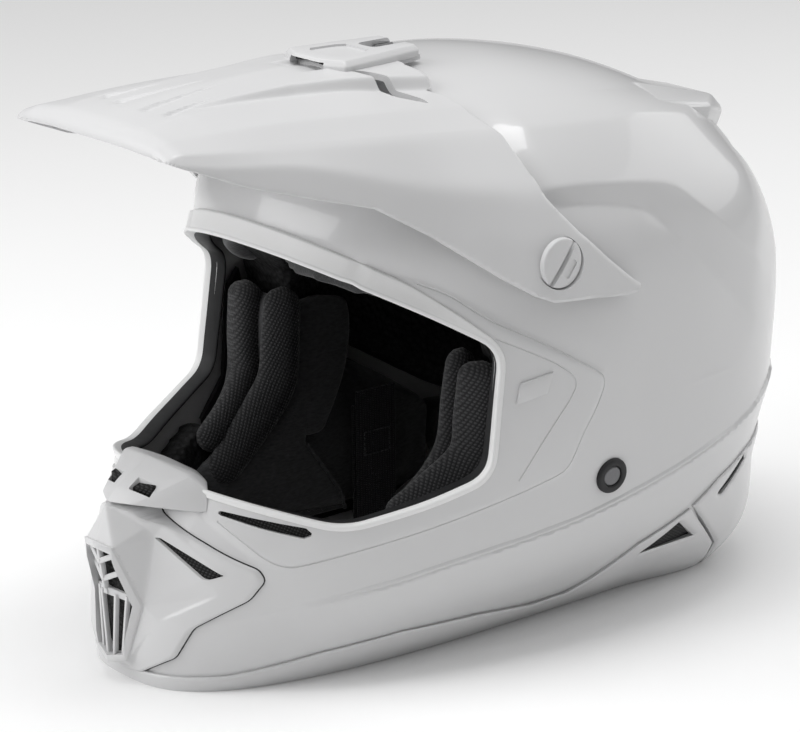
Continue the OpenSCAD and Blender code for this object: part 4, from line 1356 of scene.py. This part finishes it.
def cord_line(name, tree, line, radius, lift, material):
    """Piping or a row of stitches that follows a surface."""
    places, normals = on_surface(resample(smooth_path(line, 8), 1.6), tree)
    piece = sweep(name, places + normals * lift, normals, circle_profile(radius))
    return finish(piece, "root", material, sharp=80)


def bolster(name, line, out, widths, height, material):
    """Padded column along a line, pulled in at both ends."""
    path = resample(smooth_path(np.hstack([line, out, np.reshape(widths, (-1, 1))]), 10), 2.0)
    share = np.linspace(0, 1, len(path))
    end = np.sqrt(np.clip(1 - (np.maximum(0, np.abs(share - 0.5) - 0.42) / 0.08) ** 2, 0.02, 1))
    a = np.linspace(0, 2 * math.pi, 28, endpoint=False)
    shape = np.stack([np.sign(np.cos(a)) * np.abs(np.cos(a)) ** 0.8,
                      np.sign(np.sin(a)) * np.abs(np.sin(a)) ** 0.9], 1)
    profiles = [shape * [w / 2 * e, height * e] for w, e in zip(path[:, 6], end)]
    column = sweep(name, path[:, :3], path[:, 3:6], profiles)
    return finish(column, "root", material, sharp=70)


# Line on the inner face of the cheek pad behind which it falls away, as y and z points
PAD_EDGE = [[-58, 150], [-44, 104], [-33, 88], [-50, 71], [-51, 62], [-40, 47], [-29, 31],
            [-18, 14]]
COLUMN_FRONT = [[90, -62, 143], [89, -64.5, 118], [87, -67, 97], [79, -82, 83], [71, -104, 70]]
COLUMN_CORNER = [[68, -56, 143], [66.5, -59, 120], [66, -62, 98], [66, -72, 84], [64, -88, 70],
                 [61.5, -104, 55]]
FLAP = [[62.5, -47, 66], [62, -44, 84], [65, -38, 104], [70, -34, 122], [74, -33, 133]]
PAD_PIPING = [[61, -50, 62], [61, -41, 49], [61, -30, 33], [61, -20, 17]]
PAD_SEAM = [[61, -108, 40], [61, -80, 34], [61, -50, 26], [61, -26, 22]]


def cheek_pad_shape():
    """Left cheek pad, blown up and with its sewn seam pressed in."""
    pad = stuffed("cheek_pad_left", 4.5, 1.6, 6, 4.0)
    places, _ = vertex_arrays(pad)
    behind = inside_distance(PAD_EDGE + [[60, 14], [60, 150]], places[:, 1], places[:, 2])
    inner = ease(74, 64, places[:, 0])
    places[:, 0] += 9.0 * ease(0.0, 5.0, behind) * inner
    set_vertices(pad, places)
    return press_lines(pad, [PAD_SEAM], 2.4, 2.2)


def cheek_pads():
    """Cheek pads with their padded columns, flaps, piping and seams."""
    left = cheek_pad_shape()
    right = mirrored_copy(left, "cheek_pad_right_visual")
    tree = surface_tree(left)
    padded(left, FABRIC, "cheek_pad_left")
    padded(right, FABRIC, "cheek_pad_right")
    pieces = [
        (bolster("cheek_column_front", COLUMN_FRONT, [[0.3, -1, 0.1]] * 5, [24, 25, 24, 20, 15],
                 7.5, KNIT), 0.8),
        (bolster("cheek_column_corner", COLUMN_CORNER, [[-0.75, -0.8, 0.1]] * 6,
                 [18, 19, 20, 20, 19, 15], 7.0, KNIT), 0.8),
        (bolster("cheek_flap", FLAP, [[-1, -0.1, 0.2]] * 5, [16, 26, 34, 38, 34],
                 4.0, FABRIC), 0.6),
        (cord_line("cheek_piping", tree, PAD_PIPING, 0.9, 0.4, FABRIC_LIGHT), None),
        (cord_line("cheek_seam", tree, PAD_SEAM, 0.5, 0.0, FABRIC), None),
    ]
    for piece, fill in pieces:
        other = mirrored_copy(piece, piece.name + "_right")
        piece.name += "_left"
        finish(other, "root", piece.data.materials[0], sharp=75)


def crown_pad():
    """Crown pad with sewn channels."""
    pad = stuffed("crown_pad", 4.0, 0.8, 4, 3.0)
    dome = lambda x, y: 128 + 94 * math.sqrt(max(0.02, 1 - (x / 78) ** 2 - ((y - 14) / 104) ** 2))
    lines = [[[x, y, dome(x, y)] for y in range(-38, 112, 12)] for x in (-48, -17, 17, 48)]
    press_lines(pad, lines, 3.0, 3.5, facing=(0, 0, -1))
    padded(pad, KNIT, "crown_pad")


def brow_pad():
    """Brow pad and the padded strip along its edge."""
    padded(stuffed("brow_pad", 4.0, 0.8, 4, 3.0), FABRIC, "brow_pad")
    half = [[88, -57, 154], [79, -74, 168], [62, -89, 179], [36, -97, 188], [0, -100, 191]]
    line = half + [[-x, y, z] for x, y, z in half[-2::-1]]
    out = [[-x / 110, 0.5, -0.75] for x, _, _ in line]
    strip = bolster("brow_strip", line, out, [9, 14, 12, 9, 8, 9, 12, 14, 9], 3.0, FABRIC_LIGHT)


def foam_liner(node):
    """Moulded foam with softened edges."""
    liner = soften(copy_of(node), 4.0, 0.3, 5)
    return finish(liner, "root", FOAM, [node], sharp=60)


# ---------------------------------------------------------------- straps

STRAP_Y, STRAP_W, STRAP_T = -8.0, 25.0, 2.0
STRAP_X = 59.6
RING_BAR_X, RING_BAR_Z, RING_PITCH, RING_LOOP_R = 56.45, 30.0, 4.2, 3.15


def webbing_piece(node, route):
    """Flat webbing along a route of x and z points, with rounded edges."""
    points = resample(round_corners(route, 1.2, closed=False), 1.2)
    path = np.stack([points[:, 0], np.full(len(points), STRAP_Y), points[:, 1]], 1)
    step = np.gradient(points, axis=0)
    step /= np.linalg.norm(step, axis=1, keepdims=True)
    out = np.stack([-step[:, 1], np.zeros(len(points)), step[:, 0]], 1)
    w, t = STRAP_W / 2, STRAP_T / 2 - 0.1
    ribs = enumerate(np.linspace(-w + 2.2, w - 2.2, 15))
    half = [[-w, 0], [-w + 0.3, t * 0.7], [-w + 1.0, t]]
    half += [[x, t * (0.92 + 0.08 * (k % 2))] for k, x in ribs]
    half += [[w - 1.0, t], [w - 0.3, t * 0.7], [w, 0]]
    profile = half + [[x, -y] for x, y in half[-2:0:-1]]
    strap = sweep(node + "_visual", path, out, profile)
    return finish(strap, "root", WEBBING, [node], sharp=50)


def stitch_box(name, x, z_low, z_high, side):
    """Boxed rows of stitches on the webbing."""
    rows = []
    for y in (STRAP_Y - 8, STRAP_Y + 8):
        for z in np.arange(z_low, z_high, 2.6):
            rows.append(([x, y, z], [x, y, z + 1.7]))
    for z in (z_low, z_high):
        for y in np.arange(STRAP_Y - 8, STRAP_Y + 7, 2.6):
            rows.append(([x, y, z], [x, y + 1.7, z]))
    stitches = []
    for a, b in rows:
        line = np.array([a, (np.array(a) + b) / 2 + [side * 0.25, 0, 0], b])
        stitches.append(sweep("stitch", line, [[1.0, 0, 0]] * 3, circle_profile(0.35, 6)))
    return finish(join(stitches, name), "root", FABRIC_LIGHT, sharp=80)


def straps():
    """Both chin straps: the left one through the rings, the right one folded."""
    x, gap, back = STRAP_X, 2 * RING_LOOP_R, STRAP_X - STRAP_T - 0.2
    half_turn = np.radians(np.arange(0, 181, 15))
    loop = []
    for a in half_turn:
        px = RING_BAR_X + RING_LOOP_R * math.cos(a)
        if px < RING_BAR_X - 0.01:
            px -= RING_PITCH
        loop.append([px, RING_BAR_Z - RING_LOOP_R * math.sin(a)])
    webbing_piece("chin_strap_left", [[x, 76], *loop, [x - gap - RING_PITCH, 34], [back, 50],
                                      [back, 66]])
    fold = 1.6
    turn = [[-(x - fold + fold * math.cos(a)), 11 - fold * math.sin(a)] for a in half_turn]
    webbing_piece("chin_strap_right", [[-x, 76], *turn, [2 * fold - x, 84]])
    stitch_box("strap_stitches_left", back - 1.0, 52, 64, -1)
    stitch_box("strap_stitches_right", 2 * fold - x + 1.0, 50, 62, 1)


cheek_pads()
crown_pad()
brow_pad()
padded(stuffed("neck_roll", 4.5, 1.4, 6, 4.0), FABRIC, "neck_roll")
foam_liner("crown_foam")
foam_liner("chin_foam")
straps()


# ---------------------------------------------------------------- fins, jaw crests and badge pads

# Centres and radii of balls inside the left fin's skin
FIN_BALLS = [
    ([67, 97, 232], 4), ([57.5, 108, 232], 4.4), ([57, 113, 227], 4.6), ([47, 113, 227], 5),
    ([34, 104, 233], 5), ([70, 62, 237], 6), ([52, 66, 241], 6), ([38, 78, 239], 6),
    ([66, 84, 212], 5), ([56, 104, 205], 4), ([34, 108, 208], 5),
]


def ball_points(centre, radius):
    u, v = np.meshgrid(np.radians(np.arange(-90, 91, 18)), np.radians(np.arange(0, 360, 20)),
                       indexing="ij")
    ball = np.stack([np.cos(u) * np.cos(v), np.cos(u) * np.sin(v), np.sin(u)], 2)
    return centre + radius * ball.reshape(-1, 3)


def fins():
    """Lip at the back of each shoulder rail, joined to the shell."""
    fin = hull_object("fin", np.vstack([ball_points(*ball) for ball in FIN_BALLS]))
    boolean(shell, mirror_object(fin), "UNION")


def jaw_crest():
    """Sharp crest along the ridge of the jaw."""
    line = resample(JAW[4:-24], 1.5)
    share = np.linspace(0, 1, len(line))
    size = np.minimum(1, np.minimum(share, 1 - share) * 8 + 0.08)
    places, normals = on_surface(line)
    for _ in range(30):
        for values in (places, normals):
            values[1:-1] = 0.5 * values[1:-1] + 0.25 * (values[2:] + values[:-2])
    normals /= np.linalg.norm(normals, axis=1, keepdims=True)
    profile = np.array([[-2.2, -1.4], [1.8, -1.4], [1.6, -0.4], [0.3, 0.75], [-0.3, 0.8],
                        [-2.2, 0.0]])
    profiles = [profile * [1, f] - [0, 0.5 * (1 - f)] for f in size]
    crest = sweep("jaw_crest", places, normals, profiles)
    return finish(mirror_object(crest), "root", LACQUER, sharp=60)


def badge_pad():
    """Plain raised pad on the surround of the eyeport."""
    ring = [[112, -63, 128.5], [113, -61, 138], [118, -45.5, 141.5], [117, -48.5, 132]]
    places, normals = on_surface(ring)
    return bevelled_box("badge_pad", places - normals * 1.5, places + normals * 1.3, 0.3)


fins()
jaw_crest()
pair("badge_pad", badge_pad(), LACQUER, 40, replaces=False, ending="")
finish(shell, "root", LACQUER, ["outer_shell"])


# ---------------------------------------------------------------- looks of the CAD pieces that stay

SLOT_MATERIALS = {
    "shell_white": LACQUER, "plastic_white": PLASTIC, "rim_white": RUBBER_WHITE,
    "black_rubber": RUBBER_BLACK, "black_mesh": MESH_BLACK, "filter_foam": FILTER,
    "foam_grey": FOAM, "pad_shell": PAD_PLASTIC, "liner_fabric": FABRIC, "webbing": WEBBING,
    "steel": STEEL,
}
for part in frame["record"]["subparts"]:
    node = NODES[part["node"]]
    for material_slot in node.material_slots:
        material_slot.material = SLOT_MATERIALS[part["material_slot"]]


# ---------------------------------------------------------------- camera, light and floor

def make_camera():
    """Camera from its turn, height angle, roll and distance."""
    a, e, roll = (math.radians(v) for v in (50.78, 17.41, -0.64))
    back = Vector((math.sin(a) * math.cos(e), -math.cos(a) * math.cos(e), math.sin(e)))
    right = Vector((math.cos(a), math.sin(a), 0))
    up = back.cross(right)
    turned = right * math.cos(roll) + up * math.sin(roll)
    risen = up * math.cos(roll) - right * math.sin(roll)
    data = bpy.data.cameras.new("camera")
    data.lens = 149.7
    data.sensor_width = 36
    data.clip_end = 20
    camera = placed("camera", data)
    place = Vector((-9.5, -30, 110.8)) * MM + back * 1.612
    camera.matrix_world = Matrix((
        (turned.x, risen.x, back.x, place.x), (turned.y, risen.y, back.y, place.y),
        (turned.z, risen.z, back.z, place.z), (0, 0, 0, 1)))
    bpy.context.scene.camera = camera


def area_light(name, place, aim, size, power):
    data = bpy.data.lights.new(name, "AREA")
    data.shape = "RECTANGLE"
    data.size, data.size_y = size
    data.energy = power
    lamp = placed(name, data)
    lamp.location = place
    lamp.rotation_euler = (Vector(aim) - Vector(place)).to_track_quat("-Z", "Y").to_euler()


# Brightness of the studio walls level with the helmet, and of its ceiling
HORIZON_LIGHT, ZENITH_LIGHT = 0.07, 0.78


def make_light():
    """Even studio light from above, with three large soft boxes."""
    world = bpy.data.worlds.new("studio")
    bpy.context.scene.world = world
    world.use_nodes = True
    nodes, links = world.node_tree.nodes, world.node_tree.links
    place = nodes.new("ShaderNodeTexCoord")
    split = nodes.new("ShaderNodeSeparateXYZ")
    rise = nodes.new("ShaderNodeMapRange")
    rise.inputs["To Min"].default_value = HORIZON_LIGHT
    rise.inputs["To Max"].default_value = ZENITH_LIGHT
    links.new(place.outputs["Generated"], split.inputs["Vector"])
    links.new(split.outputs["Z"], rise.inputs["Value"])
    links.new(rise.outputs["Result"], nodes["Background"].inputs["Strength"])
    nodes["Background"].inputs["Color"].default_value = (1, 1, 1, 1)
    area_light("top_box", (0.1, -0.1, 1.5), (0, -0.03, 0.12), (0.8, 0.5), 8)
    area_light("front_box", (-0.7, -1.4, 0.9), (0, -0.05, 0.12), (1.3, 1.3), 16)
    area_light("back_strip", (0.35, 1.35, 0.75), (0, 0.05, 0.14), (1.6, 0.9), 5)


def make_floor():
    """White paper floor."""
    half = 6000
    corners = [[-half, -half, 0], [half, -half, 0], [half, half, 0], [-half, half, 0]]
    floor = new_object("floor", corners, [[0, 1, 2, 3]])
    mat = base_material("floor_paper", (0.92, 0.92, 0.92), 0.9, Specular_IOR_Level=0.1)
    vary_roughness(mat, noise(mat, 5), 0.85, 0.95)
    floor.data.materials.append(mat)


make_camera()
make_light()
make_floor()
bpy.context.scene.view_settings.view_transform = "Standard"
